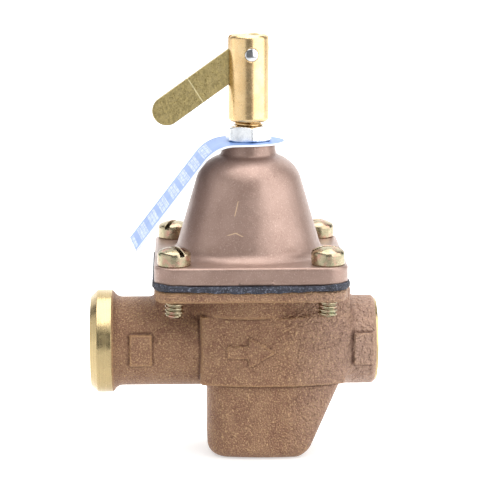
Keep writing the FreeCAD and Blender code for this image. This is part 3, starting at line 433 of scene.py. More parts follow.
def casting_form(x, y, z):
    """Signed distance to the surface of the casting."""
    # square flange, round drum, and the webs that carry them on the pipe
    run, rise = np.hypot(y, z - PIPE_Z), z - PIPE_Z
    form = slab(rounded_square(x, y, FLANGE_HALF, CORNER), z, CAST_TOP - FLANGE_THICK, CAST_TOP, 1.1)
    form = melt(form, slab(np.hypot(x, y) - DRUM_RADIUS, z, DRUM_FOOT, CAST_TOP - 2.0, 1.3), 1.5)
    form = melt(form, block(x, y, z, (0, -14.0, PIPE_Z), (33.4, 14.0, UNDER_FLANGE), 2.0), 1.8)
    form = melt(form, block(x, y, z, (-31.3, -9.5, PIPE_Z), (0, 9.5, UNDER_FLANGE), 2.0), 1.8)
    pipe = slab(run - PIPE_RADIUS, x, -46.5, CAST_RIGHT - 0.5, 1.6)
    flare = slab(run - FLARE_RADIUS, x, -47.2, -45.7, 0.3)
    form = melt(form, melt(pipe, flare, 3.2), 2.2)
    # chest, which sweeps up to the flange on the outlet side, and the leaning bowl under it
    web = slab(bowed(x, y, -2.4, 10.5, 31.4, 4.0), z, 40.0, UNDER_FLANGE, 1.0)
    form = melt(form, web, 2.4)
    chest = slab(bowed(x, y, CHEST_SWELL, CHEST_LEFT, CHEST_RIGHT, 1.4), z, CHEST_FOOT, CHEST_HEAD, 0.5)
    form = melt(form, chest, 0.3 + 3.0 * np.clip((x - 9.0) / 8.0, 0, 1))
    lean = (x - 18.6) * 0.909 - z * 0.4166
    bowl = meet(bowed(x, y, BOWL_SWELL, BOWL_LEFT, 40.0, 7.0), lean, 3.0)
    bowl = meet(bowl, abs(z - BOWL_HIGH / 2) - BOWL_HIGH / 2, 4.2)
    form = melt(form, bowl, 0.5)
    # wrench pads and the flow arrow
    for left, right in ((-40.1, -32.5), (34.6, CAST_RIGHT - 1.5)):
        low, high = (left, -PAD_FRONT, PIPE_Z - PAD_HALF), (right, PAD_FRONT, PIPE_Z + PAD_HALF)
        form = melt(form, block(x, y, z, low, high, 0.5), 0.4)
    shaft = np.maximum(abs(x + 2.6) - 5.1, abs(rise) - 2.2)
    head = np.maximum(-0.6 - x, (x - 8.6) * 0.5 + abs(rise) * 0.866)
    arrow = meet(np.minimum(shaft, head), bow(x, y, CHEST_SWELL + ARROW_RISE), 0.25)
    form = melt(form, meet(arrow, y + 15.0, 0.2), 0.15)
    # bores up the middle, from both ports, the two slanting passages and the bolt holes
    axis = np.hypot(x, y)
    for radius, low, high in ((18.5, 51.8, 70.0), (11.0, 43.8, 52.0), (9.5, 37.0, 44.0), (10.8, 5.0, 37.8)):
        form = meet(form, -slab(axis - radius, z, low, high, 0), 0.2)
    for radius, low, high in (
            (7.4, -60.0, -19.8), (PORT_RADIUS, -60.0, -38.2), (PORT_RADIUS, CAST_RIGHT - 15.0, 60.0)):
        form = np.maximum(form, -slab(run - radius, x, low, high, 0))
    for start_x, start_z, tilt, length, radius in (
            (-22.5, 35.2, -19.0, 15.5, 4.8), (8.0, 49.2, -23.4, 24.0, 4.4)):
        turn = math.radians(tilt)
        along = (x - start_x) * math.cos(turn) + (z - start_z) * math.sin(turn)
        aside = np.hypot((z - start_z) * math.cos(turn) - (x - start_x) * math.sin(turn), y)
        form = np.maximum(form, -slab(aside - radius, along, 0, length, 0))
    hole = np.hypot(abs(x) - BOLT, abs(y) - BOLT) - 3.3
    return np.maximum(form, -slab(hole, z, 50.0, 70.0, 0))


casting_skin = skin(casting_form, (CAST_LEFT, -32, 0), (CAST_RIGHT, 32, CAST_TOP), 0.64)
# This value goes by how much air lies round a spot: 1 on a sharp edge, 0 on a flat face, -1 in a deep corner.
# The material pales the edges with it, partly as rubbing and partly as a painted highlight, and darkens the deep
# corners as painted shade.
spots, air_reach = casting_skin[0], 0.9
steps_out = [side * air_reach * np.eye(3)[i] for i in range(3) for side in (1, -1)]
edge_wear_and_shade = np.clip(sum(casting_form(*(spots + step_out).T) for step_out in steps_out) / air_reach, -1, 1)

collar = lathe([
    (10.1, CAST_LEFT + 15.0, 0.1), (10.1, CAST_LEFT + 0.7, 0.1), (10.9, CAST_LEFT, 0.1),
    (15.1, CAST_LEFT, 0.3), (17.35, CAST_LEFT + 2.3, 0.3), (17.35, CAST_LEFT + 7.2, 0.25),
    (15.6, CAST_LEFT + 7.6, 0.1), (11.2, CAST_LEFT + 15.0, 0.1),
][::-1], "X", 192)
hub_face = lathe([
    (10.1, CAST_RIGHT - 15.0, 0.1), (11.2, CAST_RIGHT - 15.0, 0.1), (13.6, CAST_RIGHT - 1.2, 0.1),
    (14.3, CAST_RIGHT - 0.9, 0.2), (13.9, CAST_RIGHT, 0.3),
    (10.9, CAST_RIGHT, 0.1), (10.1, CAST_RIGHT - 0.7, 0.1),
], "X", 192)
THREAD_RUN, PIPE_PITCH = 13.0, 25.4 / 14
inlet_thread, outlet_thread = (
    wind(10.12, THREAD_RUN, THREAD_RUN / PIPE_PITCH, 0.56, 4, 64, (start, 0, 0), "X")
    for start in (CAST_LEFT + 1.2, CAST_RIGHT - 14.2))
for part in (collar, hub_face, inlet_thread, outlet_thread):
    part[0][:, 2] += PIPE_Z
body = make_piece("cast_valve_body", [casting_skin, collar, hub_face, inlet_thread, outlet_thread],
                  [sand_cast_bronze(), turned_bronze()], {"edge_wear_and_shade": edge_wear_and_shade})
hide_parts("body_casting")
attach(body, "valve_body")

# ------------------------------------------------------------------ seat, cage, strainer and check valve
# Turned brass pieces pushed or screwed into the bores, with rubber discs bonded on and a stainless screen under
# the cage. They are only seen down the ports, so the CAD shapes stay and get their real finishes.


def plain_metal(name, low, high, rough, lump=2.0):
    """Clean metal whose tone and gloss drift a little from place to place."""
    material, tree, shader, place = new_material(name)
    feed(tree, shader, "Base Color", blend_colour(tree, grain(tree, place, lump), low, high))
    shader.inputs["Metallic"].default_value = 1.0
    roughen(tree, shader, place, rough, rough + 0.12, lump * 0.7)
    feed(tree, shader, "Normal", bump(tree, grain(tree, place, 0.3), 0.006))
    return material


def moulded_rubber(name, low, high, speck=None):
    """Rubber: matt, a little uneven, with cut threads showing if a speck colour is given."""
    material, tree, shader, place = new_material(name)
    tone = blend_colour(tree, grain(tree, place, 1.5), low, high)
    if speck:
        tone = blend_colour(tree, grain(tree, place, 0.5, 0.54, 0.68, 3.0), tone, speck)
    feed(tree, shader, "Base Color", tone)
    shader.inputs["Roughness"].default_value = 0.62
    feed(tree, shader, "Normal", bump(tree, grain(tree, place, 0.5), 0.05))
    return material


def dress(names, material):
    """Gives CAD nodes a finish through their own material slots."""
    for name in names:
        for held in frame["nodes"][name].material_slots:
            held.material = material


machined = plain_metal("machined brass", "#b9975a", "#dcbd7e", 0.2)
black_rubber = moulded_rubber("black rubber", "#17171a", "#26262a")
stainless = plain_metal("stainless steel", "#b4b4b4", "#cdcdcd", 0.25)
dress(["seat_ring", "valve_cage", "check_seat", "check_cage", "check_poppet", "stem", "disc_holder", "disc_nut",
       "diaphragm_washer", "stem_nut", "fast_fill_plunger"], machined)
dress(["seat_gasket", "check_poppet_seal", "seat_disc", "plunger_seal"], black_rubber)
dress(["strainer_screen"], stainless)


def wound_spring(name, node, radius, turns, wire, axis, material):
    """A round-wire spring in its CAD node's place."""
    low, high = (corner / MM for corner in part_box(node))
    along = "XYZ".index(axis)
    run = high[along] - low[along] - wire
    middle = {"X": (0, 0, PIPE_Z), "Z": (0, 0, 0)}[axis]
    centre = [middle[i] if i != along else low[along] + wire / 2 for i in range(3)]
    piece = make_piece(name, [wind(radius, run, turns, wire / 2, 20, 64, centre, axis)], [material])
    start, end = Vector(centre) * MM, Vector(centre) * MM
    end[along] = (high[along] - wire / 2) * MM
    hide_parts(node)
    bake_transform(piece)


wound_spring("check_coil", "check_spring", 4.0, 4.0, 0.8, "X", stainless)
wound_spring("closing_coil", "closing_spring", 5.7, 4.0, 1.0, "Z", stainless)

# ------------------------------------------------------------------ diaphragm and range spring
# The diaphragm is nylon-reinforced rubber clamped between the flanges. Its cut edge stands a little proud and
# curls, and its middle goes up and down with the stem. The range spring is oiled steel wire between two
# zinc-plated plates.
white_zinc = plain_metal("white zinc plate", "#cfd3d8", "#e9ecef", 0.16, 3.0)
MEMBRANE_LOW, MEMBRANE_HIGH = (corner.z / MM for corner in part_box("diaphragm"))
MEMBRANE_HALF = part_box("diaphragm")[1].x / MM
MEMBRANE_CORNER, MOVING_RADIUS = 7.2, 18.3


def membrane_form(x, y, z):
    """Signed distance to the diaphragm, whose free edge curls up toward the corners and sags between them."""
    outline = rounded_square(x, y, MEMBRANE_HALF, MEMBRANE_CORNER)
    free = np.clip((outline + 0.72) / 0.3, 0, 1)
    cornerward = np.clip(np.minimum(abs(x), abs(y)) / 30.0, 0, 1) ** 2
    curl = 0.95 * (cornerward * 1.6 - 0.6) + 0.12 * np.sin(0.9 * x + 0.7 * y)
    form = slab(outline, z - curl * free, MEMBRANE_LOW, MEMBRANE_HIGH, 0.45)
    hole = np.hypot(abs(x) - BOLT, abs(y) - BOLT) - 3.5
    return np.maximum(form, -np.minimum(hole, np.hypot(x, y) - 3.2))


def clamped_form(x, y, z):
    """Signed distance to the part that the flanges hold still, 0.05 mm clear of the middle."""
    return np.maximum(membrane_form(x, y, z), MOVING_RADIUS + 0.05 - np.hypot(x, y))


def moving_form(x, y, z):
    """Signed distance to the middle that moves with the stem."""
    return np.maximum(membrane_form(x, y, z), np.hypot(x, y) - MOVING_RADIUS)


rubber = moulded_rubber("cloth-reinforced rubber", "#1b1c26", "#2c2e3b", "#6d7180")
membrane_step = 0.42
for name, form, extent, body_name in (("clamped_membrane", clamped_form, MEMBRANE_HALF + 0.05, "valve_body"),
                                      ("moving_membrane", moving_form, MOVING_RADIUS + 0.1, "valve_stem")):
    low, high = (-extent, -extent, MEMBRANE_LOW - 0.9), (extent, extent, MEMBRANE_HIGH + 0.9)
    membrane = make_piece(name, [skin(form, low, high, membrane_step)], [rubber])
    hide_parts("diaphragm")
    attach(membrane, body_name)
dress(["pressure_plate", "spring_button"], white_zinc)
wound_spring("range_coil", "range_spring", 9.7, 5.2, 2.8, "Z",
             plain_metal("oiled spring steel", "#4c4c50", "#6a6a6e", 0.28))

# ------------------------------------------------------------------ bonnet
# Spring housing, cast in bronze and tumbled smooth: a square flange that turns with a fillet into a bell with a
# rounded shoulder and a short threaded neck. A short line from the pattern stands on the flange's front edge.
BELL_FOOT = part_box("bonnet")[0].z / MM
NECK_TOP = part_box("bonnet")[1].z / MM
FLANGE_TOP = BELL_FOOT + 6.0
BELL_RADIUS, BELL_WALL, NECK_RADIUS = 24.7, 3.2, 9.2


def bonnet_form(x, y, z):
    """Signed distance to the surface of the bonnet."""
    radius = np.hypot(x, y)
    side = (radius - BELL_RADIUS) * 0.96 + (z - FLANGE_TOP) * 0.28
    bell = meet(meet(side, z - (NECK_TOP - 3.7), 8.0), BELL_FOOT - z, 0.3)
    neck = slab(radius - NECK_RADIUS + (z - NECK_TOP + 3.3) * 0.15, z, NECK_TOP - 12.0, NECK_TOP, 0.5)
    flange = slab(rounded_square(x, y, FLANGE_HALF - 0.1, CORNER), z, BELL_FOOT, FLANGE_TOP, 0.9)
    form = melt(melt(bell, neck, 0.8), flange, 3.0)
    line = block(x, y, z, (-4.0, -32.0, BELL_FOOT + 0.6), (6.8, -31.0, BELL_FOOT + 1.3), 0.25)
    form = melt(form, line, 0.3)
    cavity = meet(side + BELL_WALL, z - (NECK_TOP - 8.0), 2.6)
    form = np.maximum(form, -cavity)
    form = np.maximum(form, -(radius - 4.85))
    hole = np.hypot(abs(x) - BOLT, abs(y) - BOLT) - 3.52
    return np.maximum(form, -hole)


def smooth_bronze():
    """Cast bronze, tumbled smooth: satin brown with fine specks, a clear film and pale rubbed marks."""
    material, tree, shader, place = new_material("smooth bronze")
    tone = blend_colour(tree, grain(tree, place, 9.0), "#92776b", "#a08579")
    speck = blend_colour(tree, grain(tree, place, 0.4, 0.55, 0.8, 2.0), tone, "#b9a093")
    dots = blend_colour(tree, grain(tree, place, 0.7, 0.66, 0.8), speck, "#7c5c4f")
    split = add(tree, "ShaderNodeSeparateXYZ", {}, {"Vector": place})
    front = add(tree, "ShaderNodeMath", {"operation": "LESS_THAN", 1: 0.0}, {0: (split, "Y")})
    rubbed = dots
    for x, z, slant, half in ((-4.6, 85.5, 0.25, 2.4), (-6.0, 77.5, 3.0, 0.5), (-3.9, 77.4, -2.2, 0.6)):
        up = add(tree, "ShaderNodeMath", {"operation": "SUBTRACT", 1: z}, {0: (split, "Z")})
        aside = add(tree, "ShaderNodeMath", {"operation": "SUBTRACT", 1: x}, {0: (split, "X")})
        bent = add(tree, "ShaderNodeMath", {"operation": "MULTIPLY_ADD", 1: -slant}, {0: up, 2: aside})
        width = 0.16 * math.hypot(1, slant)
        thin = add(tree, "ShaderNodeMath", {"operation": "COMPARE", 1: 0.0, 2: width}, {0: bent})
        near = add(tree, "ShaderNodeMath", {"operation": "COMPARE", 1: 0.0, 2: half}, {0: up})
        mark = add(tree, "ShaderNodeMath", {"operation": "MULTIPLY"}, {0: thin, 1: near})
        shown = add(tree, "ShaderNodeMath", {"operation": "MULTIPLY"}, {0: mark, 1: front})
        rubbed = blend_colour(tree, shown, rubbed, "#c9ab8e")
    feed(tree, shader, "Base Color", rubbed)
    shader.inputs["Metallic"].default_value = 0.6
    shader.inputs["Coat Weight"].default_value = 0.45
    shader.inputs["Coat Roughness"].default_value = 0.36
    roughen(tree, shader, place, 0.34, 0.44, 1.4)
    soft = bump(tree, grain(tree, place, 2.5), 0.03)
    feed(tree, shader, "Normal", bump(tree, grain(tree, place, 0.35), 0.022, soft))
    return material


bonnet_step = 0.62
bonnet_skin = skin(bonnet_form, (-32, -32, BELL_FOOT), (32, 32, NECK_TOP), bonnet_step)
bonnet = make_piece("spring_bonnet", [bonnet_skin], [smooth_bronze()])
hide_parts("bonnet")
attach(bonnet, "valve_body")

# ------------------------------------------------------------------ bonnet screws
# Four slotted fillister-head screws, 1/4-20, zinc plated and yellow passivated, so that their colour drifts
# between straw, pink and green. Each was left at the angle where it came tight.
HEAD_RADIUS, HEAD_SIDE, HEAD_TOP, SHANK_LENGTH, SHANK_CORE = 5.45, 4.3, 6.0, 17.4, 2.62
SLOT_HALF, SLOT_DEEP = 0.75, 2.6
SCREW_PITCH = 25.4 / 20


def screw_form(x, y, z):
    """Signed distance to one screw that stands on the origin."""
    radius = np.hypot(x, y)
    crown = (HEAD_RADIUS ** 2 + (HEAD_TOP - HEAD_SIDE) ** 2) / (2 * (HEAD_TOP - HEAD_SIDE))
    dome = np.hypot(radius, z - HEAD_TOP + crown) - crown
    head = meet(meet(radius - HEAD_RADIUS, dome, 0.7), -z, 0.3)
    shank = meet(slab(radius - SHANK_CORE, z, -SHANK_LENGTH, 1.0, 0.5), radius - 2.0 - (z + SHANK_LENGTH), 0.2)
    slot_cut = np.maximum(abs(y) - SLOT_HALF, HEAD_TOP - SLOT_DEEP - z)
    return meet(melt(head, shank, 0.2), -slot_cut, 0.15)


def yellow_zinc():
    """Yellow passivated zinc: bright, with straw, pink and green drifting over it, and painted shade in the
    slot.
    """
    material, tree, shader, place = new_material("yellow zinc plate")
    straw = blend_colour(tree, grain(tree, place, 3.0), "#a2957a", "#b9ae92")
    pink = blend_colour(tree, grain(tree, place, 2.3, 0.5, 0.75), straw, "#c08f80")
    green = blend_colour(tree, grain(tree, place, 1.9, 0.55, 0.8), pink, "#8c9878")
    # Painted shade: the inside of the slot is darkened.
    slot_shade_attribute = add(tree, "ShaderNodeAttribute", {"attribute_name": "slot"})
    slot_shade_share = add(tree, "ShaderNodeMapRange", {"From Min": 0.1, "From Max": 0.9, "To Max": 0.85},
               {"Value": (slot_shade_attribute, "Fac")})
    feed(tree, shader, "Base Color", blend_colour(tree, slot_shade_share, green, "#3a2c1c"))
    shader.inputs["Metallic"].default_value = 1.0
    roughen(tree, shader, place, 0.16, 0.32, 1.2)
    feed(tree, shader, "Normal", bump(tree, grain(tree, place, 2.2), 0.012))
    return material


def screw_set_tree():
    """Geometry nodes that set one screw at each corner of the flange, each with its own angle."""
    tree = bpy.data.node_groups.new("screw set", "GeometryNodeTree")
    tree.interface.new_socket("Screw", in_out="INPUT", socket_type="NodeSocketGeometry")
    angles = ("Front Left Angle", "Rear Left Angle", "Front Right Angle", "Rear Right Angle")
    for name in ("Square Side", "Seat Height") + angles:
        tree.interface.new_socket(name, in_out="INPUT", socket_type="NodeSocketFloat")
    tree.interface.new_socket("Material", in_out="INPUT", socket_type="NodeSocketMaterial")
    tree.interface.new_socket("Geometry", in_out="OUTPUT", socket_type="NodeSocketGeometry")
    given = add(tree, "NodeGroupInput")
    corners = add(tree, "GeometryNodeMeshGrid", {"Vertices X": 2, "Vertices Y": 2}, {
        "Size X": (given, "Square Side"), "Size Y": (given, "Square Side")})
    index = add(tree, "GeometryNodeInputIndex")
    pick = add(tree, "GeometryNodeIndexSwitch", {"data_type": "FLOAT"})
    while len(pick.index_switch_items) < 4:
        pick.index_switch_items.new()
    tree.links.new(index.outputs[0], pick.inputs["Index"])
    for socket, name in enumerate(angles):
        tree.links.new(given.outputs[name], pick.inputs[socket + 1])
    turn = add(tree, "ShaderNodeCombineXYZ", {}, {"Z": pick})
    lift = add(tree, "ShaderNodeCombineXYZ", {}, {"Z": (given, "Seat Height")})
    raised = add(tree, "GeometryNodeSetPosition", {}, {"Geometry": corners, "Offset": lift})
    placed = add(tree, "GeometryNodeInstanceOnPoints", {}, {
        "Points": raised, "Instance": (given, "Screw"), "Rotation": turn})
    real = add(tree, "GeometryNodeRealizeInstances", {}, {"Geometry": placed})
    done = add(tree, "GeometryNodeSetMaterial", {}, {"Geometry": real, "Material": (given, "Material")})
    add(tree, "NodeGroupOutput", {}, {"Geometry": done})
    return tree


thread_run = SHANK_LENGTH - 2.2
screw_skin = skin(screw_form, (-5.5, -5.5, -SHANK_LENGTH), (5.5, 5.5, HEAD_TOP), 0.26)
along_slot, across_slot, up = screw_skin[0].T
# Marks the inside of the slot, where the finish paints shade.
slot_shade = np.clip((SLOT_HALF + 0.1 - abs(across_slot)) / 0.2, 0, 1)
slot_shade *= np.clip((HEAD_TOP - 0.25 - up) / 0.5, 0, 1)
slot_shade *= (up > HEAD_TOP - SLOT_DEEP - 0.1) * (np.hypot(along_slot, across_slot) < HEAD_RADIUS - 0.2)
one_screw = make_piece("one_screw", [
    screw_skin, wind(SHANK_CORE, thread_run, thread_run / SCREW_PITCH, 0.55, 4, 40, (0, 0, 0.7 - SHANK_LENGTH)),
], [yellow_zinc()], {"slot": slot_shade})
screw_mesh = grown(screw_set_tree(), "bonnet screws", {
    "Square Side": 2 * BOLT * MM, "Seat Height": FLANGE_TOP * MM,
    "Front Left Angle": math.radians(-60), "Rear Left Angle": math.radians(62),
    "Front Right Angle": math.radians(4), "Rear Right Angle": math.radians(20),
    "Material": one_screw.data.materials[0]}, one_screw.data)
bpy.data.objects.remove(one_screw)
screws = bpy.data.objects.new("bonnet_screw_set", screw_mesh)
bpy.context.collection.objects.link(screws)
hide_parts("bonnet_screws")
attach(screws, "valve_body")

# ------------------------------------------------------------------ instruction tag
# A die-cut strip of thin plastic under the locknut, printed light blue with rows of small lettering. It lies
# flat on the neck, then bends over the shoulder and hangs out past the flange with its white cut edges showing.
TAG_WIDTH, TAG_THICK, TAG_ROUND = 24.4, 0.55, 11.9
TAG_FLAT, TAG_BEND, TAG_SLOPE, TAG_RUN = 6.0, 13.0, 52.0, 37.0
TAG_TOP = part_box("instruction_tag")[1].z / MM
TAG_YAW = math.radians(6.0)


def tag_line(length):
    """Place, height and slope of the strip's upper face at a length from its round end."""
    flat = TAG_ROUND + TAG_FLAT
    arc = TAG_BEND * math.radians(TAG_SLOPE)
    if length < flat:
        return TAG_ROUND - length, 0.0, 0.0
    angle = min((length - flat) / TAG_BEND, math.radians(TAG_SLOPE))
    x, z = -TAG_FLAT - TAG_BEND * math.sin(angle), -TAG_BEND * (1 - math.cos(angle))
    rest = max(length - flat - arc, 0.0)
    return x - rest * math.cos(angle), z - rest * math.sin(angle), angle


def tag_strip():
    """The strip's two faces and its cut rim.

    Each point of the faces keeps its length along the strip, its distance from the middle line and its side.
    """
    total = TAG_ROUND + TAG_FLAT + TAG_BEND * math.radians(TAG_SLOPE) + TAG_RUN
    lengths = np.concatenate([TAG_ROUND * (1 - np.cos(np.linspace(0.02, math.pi / 2, 24))),
                              np.linspace(TAG_ROUND, total, 120)[1:]])
    across = np.linspace(-1, 1, 25)
    points, normals, along_value, across_value, side_value = [], [], [], [], []
    for face in (1, -1):
        for length in lengths:
            x, z, angle = tag_line(length)
            half = TAG_WIDTH / 2
            if length < TAG_ROUND:
                half = min(half, math.sqrt(max(TAG_ROUND ** 2 - (TAG_ROUND - length) ** 2, 0.01)))
            for share in across:
                y = half * share
                out = np.array((-math.sin(angle), 0, math.cos(angle)))
                spot = np.array((x, y, z)) + out * (0 if face > 0 else -TAG_THICK)
                points.append(spot)
                normals.append(out * face)
                along_value.append(length)
                across_value.append(y)
                side_value.append(float(face))
    rows, columns = len(lengths), len(across)
    faces = []
    for face in (0, 1):
        base = face * rows * columns
        for i in range(rows - 1):
            for j in range(columns - 1):
                a, b = base + i * columns + j, base + i * columns + j + 1
                quad = [a, a + columns, b + columns, b]
                faces.append(quad[::-1] if face == 0 else quad)
    rim = ([(i, 0) for i in range(rows)] + [(rows - 1, j) for j in range(1, columns)]
           + [(i, columns - 1) for i in range(rows - 2, -1, -1)] + [(0, j) for j in range(columns - 2, 0, -1)])
    upper = np.array([points[i * columns + j] for i, j in rim])
    lower = np.array([points[(rows + i) * columns + j] for i, j in rim])
    travel = np.roll(upper, -1, axis=0) - np.roll(upper, 1, axis=0)
    outward = np.cross(travel, lower - upper)
    outward /= np.maximum(np.linalg.norm(outward, axis=1), 1e-9)[:, None]
    middle = np.mean(upper, axis=0)
    if ((upper - middle) * outward).sum() < 0:
        outward = -outward
    count = len(rim)
    band = [[k, k + count, (k + 1) % count + count, (k + 1) % count] for k in range(count)]
    if np.cross(lower[0] - upper[0], upper[1] - upper[0]) @ outward[0] < 0:
        band = [quad[::-1] for quad in band]
    rim_points, rim_normals = np.concatenate((upper, lower)), np.concatenate((outward, outward))
    cosine, sine = math.cos(TAG_YAW), math.sin(TAG_YAW)
    turn = np.array(((cosine, -sine, 0), (sine, cosine, 0), (0, 0, 1)))
    lift = np.array((0, 0, TAG_TOP))
    flat = (np.array(points) @ turn.T + lift, faces, np.array(normals) @ turn.T)
    edge = (rim_points @ turn.T + lift, band, rim_normals @ turn.T)
    return [flat, edge], {"along": along_value, "across": across_value, "side": side_value}


def printed_plastic():
    """White plastic film printed light blue: satin, with rows of pale mottled blocks where the lettering is."""
    material, tree, shader, place = new_material("printed plastic")
    along = add(tree, "ShaderNodeAttribute", {"attribute_name": "along"})
    across = add(tree, "ShaderNodeAttribute", {"attribute_name": "across"})
    side = add(tree, "ShaderNodeAttribute", {"attribute_name": "side"})

    def test(kind, value, source):
        """A sum or a comparison of a node's value with a number."""
        output = "Fac" if source.bl_idname == "ShaderNodeAttribute" else 0
        return add(tree, "ShaderNodeMath", {"operation": kind, 1: value}, {0: (source, output)})

    def both(a, b):
        """Where two tests both hold."""
        return add(tree, "ShaderNodeMath", {"operation": "MULTIPLY"}, {0: a, 1: b})

    row = test("LESS_THAN", 0.66, test("FRACT", 0, test("DIVIDE", 5.6, test("ADD", 2.3, along))))
    bar = test("LESS_THAN", 0.86, test("FRACT", 0, test("DIVIDE", 1.25, along)))
    within = test("LESS_THAN", 9.4, test("ABSOLUTE", 0, across))
    after = test("GREATER_THAN", 24.0, along)
    letters = add(tree, "ShaderNodeMapRange", {"From Min": 0.42, "From Max": 0.55},
                  {"Value": add(tree, "ShaderNodeTexNoise", {"Scale": 0.75, "Detail": 3.0}, {"Vector": place})})
    print_share = both(both(row, bar), both(within, after))
    ink = add(tree, "ShaderNodeMapRange", {"To Min": 0.25, "To Max": 0.95}, {"Value": letters})
    soft = both(print_share, ink)
    blue = blend_colour(tree, grain(tree, place, 14.0), "#5f84c2", "#7093cd")
    lettered = blend_colour(tree, soft, blue, "#bac7de")
    edge = test("GREATER_THAN", 11.75, test("ABSOLUTE", 0, across))
    trimmed = blend_colour(tree, edge, lettered, "#eef1f6")
    top = test("GREATER_THAN", 0.6, side)
    feed(tree, shader, "Base Color", blend_colour(tree, top, "#e9edf4", trimmed))
    shader.inputs["Roughness"].default_value = 0.38
    feed(tree, shader, "Normal", bump(tree, grain(tree, place, 6.0), 0.05))
    return material


strips, tag_values = tag_strip()
tag = make_piece("printed_tag", strips, [printed_plastic()], tag_values)
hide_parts("instruction_tag")
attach(tag, "valve_body")

# ------------------------------------------------------------------ locknut
# A 3/8-16 hexagon nut in white zinc that locks the adjusting screw. Both faces are turned to a chamfer, which
# leaves the curved edge on each flat.
NUT_FLATS, NUT_YAW = 14.0, math.radians(37.9)
NUT_LOW, NUT_HIGH = (corner.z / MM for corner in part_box("locknut"))


def nut_form(x, y, z):
    """Signed distance to the locknut."""
    u = x * math.cos(NUT_YAW) + y * math.sin(NUT_YAW)
    v = y * math.cos(NUT_YAW) - x * math.sin(NUT_YAW)
    facing = (math.pi / 6, math.pi / 2, 5 * math.pi / 6)
    flats = [abs(u * math.cos(a) + v * math.sin(a)) - NUT_FLATS / 2 for a in facing]
    hexagon = meet(meet(flats[0], flats[1], 0.35), flats[2], 0.35)
    radius = np.hypot(x, y)
    top = (radius - 6.9) * 0.5 + (z - NUT_HIGH) * 0.866
    under = (radius - 7.2) * 0.5 + (NUT_LOW - z) * 0.866
    form = meet(meet(hexagon, z - NUT_HIGH, 0.1), NUT_LOW - z, 0.1)
    form = meet(meet(form, top, 0.2), under, 0.2)
    bore = 4.85 - radius
    countersink = (5.4 - radius) * 0.7 + (z - NUT_HIGH) * 0.7
    return meet(meet(form, bore, 0.05), countersink, 0.1)


nut_step = 0.17
nut = make_piece("hex_locknut", [skin(nut_form, (-8.2, -8.2, NUT_LOW), (8.2, 8.2, NUT_HIGH), nut_step)],
                 [white_zinc])
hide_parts("locknut")
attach(nut, "locknut")

# ------------------------------------------------------------------ adjusting screw and lever pin
# A 3/8-16 brass screw with a long round sleeve for a head, polished on the lathe. A slot takes the lever, the
# bore below it the fast-fill plunger, and a ground steel pin is pressed through sleeve and lever.
SCREW_LOW, SLEEVE_TOP = (corner.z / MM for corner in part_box("adjusting_screw"))
SLEEVE_RADIUS, SLEEVE_LOW = 6.75, SLEEVE_TOP - 28.8
PIN_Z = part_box("lever_pin")[0].z / MM + 2.2
PIN_RADIUS, PIN_HALF, PIN_CROWN = 2.19, 6.9, 8.3
LEVER_YAW = math.radians(7.6)
PLUNGER_BORE, SCREW_CORE, SCREW_PITCH_COARSE = 2.56, 4.06, 25.4 / 16


def in_screw(x, y):
    """Coordinates along and across the lever's slot."""
    return (x * math.cos(LEVER_YAW) + y * math.sin(LEVER_YAW), y * math.cos(LEVER_YAW) - x * math.sin(LEVER_YAW))


def sleeve_form(x, y, z):
    """Signed distance to the sleeve head of the adjusting screw."""
    u, v = in_screw(x, y)
    radius = np.hypot(x, y)
    form = slab(radius - SLEEVE_RADIUS, z, SLEEVE_LOW, SLEEVE_TOP, 1.3)
    form = meet(form, -np.maximum(abs(v) - 1.1, SLEEVE_TOP - 16.6 - z), 0.2)
    form = meet(form, -(np.hypot(u, z - PIN_Z) - 2.2), 0.12)
    return np.maximum(form, -np.maximum(radius - PLUNGER_BORE, z - SLEEVE_TOP + 11.9))


def polished_brass():
    """Brass polished on the lathe: soft gloss with fine rings, and a few tiny dark pits."""
    material, tree, shader, place = new_material("polished brass")
    tone = blend_colour(tree, grain(tree, place, 5.0), "#dbba88", "#e5c898")
    pits = blend_colour(tree, grain(tree, place, 0.8, 0.72, 0.78), tone, "#7c5428")
    feed(tree, shader, "Base Color", pits)
    shader.inputs["Metallic"].default_value = 1.0
    roughen(tree, shader, place, 0.24, 0.3, 2.0)
    split = add(tree, "ShaderNodeSeparateXYZ", {}, {"Vector": place})
    rings = add(tree, "ShaderNodeTexNoise", {"noise_dimensions": "1D", "Scale": 6.0}, {"W": (split, "Z")})
    feed(tree, shader, "Normal", bump(tree, rings, 0.004))
    return material


screw_run = SLEEVE_LOW - SCREW_LOW - 1.2
core = lathe([
    (PLUNGER_BORE, SCREW_LOW, 0.05), (3.6, SCREW_LOW, 0.2), (SCREW_CORE, SCREW_LOW + 0.6, 0.2),
    (SCREW_CORE, SLEEVE_LOW + 1.0, 0.1), (PLUNGER_BORE, SLEEVE_LOW + 1.0, 0.05)])
adjusting = make_piece("sleeved_screw", [
    skin(sleeve_form, (-6.8, -6.8, SLEEVE_LOW), (6.8, 6.8, SLEEVE_TOP), 0.3), core,
    wind(SCREW_CORE, screw_run, screw_run / SCREW_PITCH_COARSE, 0.64, 4, 64, (0, 0, SCREW_LOW + 0.8)),
], [polished_brass()])
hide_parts("adjusting_screw")
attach(adjusting, "adjusting_screw")


def pin_form(x, y, z):
    """Signed distance to the pin, its ends domed a little."""
    u, v = in_screw(x, y)
    radius = np.hypot(u, z - PIN_Z)
    crown = np.hypot(radius, abs(v) + PIN_CROWN - PIN_HALF) - PIN_CROWN
    return meet(radius - PIN_RADIUS, crown, 0.25)


pin = make_piece("cross_pin", [skin(pin_form, (-3.2, -7, PIN_Z - 2.3), (3.2, 7, PIN_Z + 2.3), 0.2)],
                 [plain_metal("ground steel", "#d5d8dc", "#eceef0", 0.06)])
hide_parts("lever_pin")
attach(pin, "adjusting_screw")

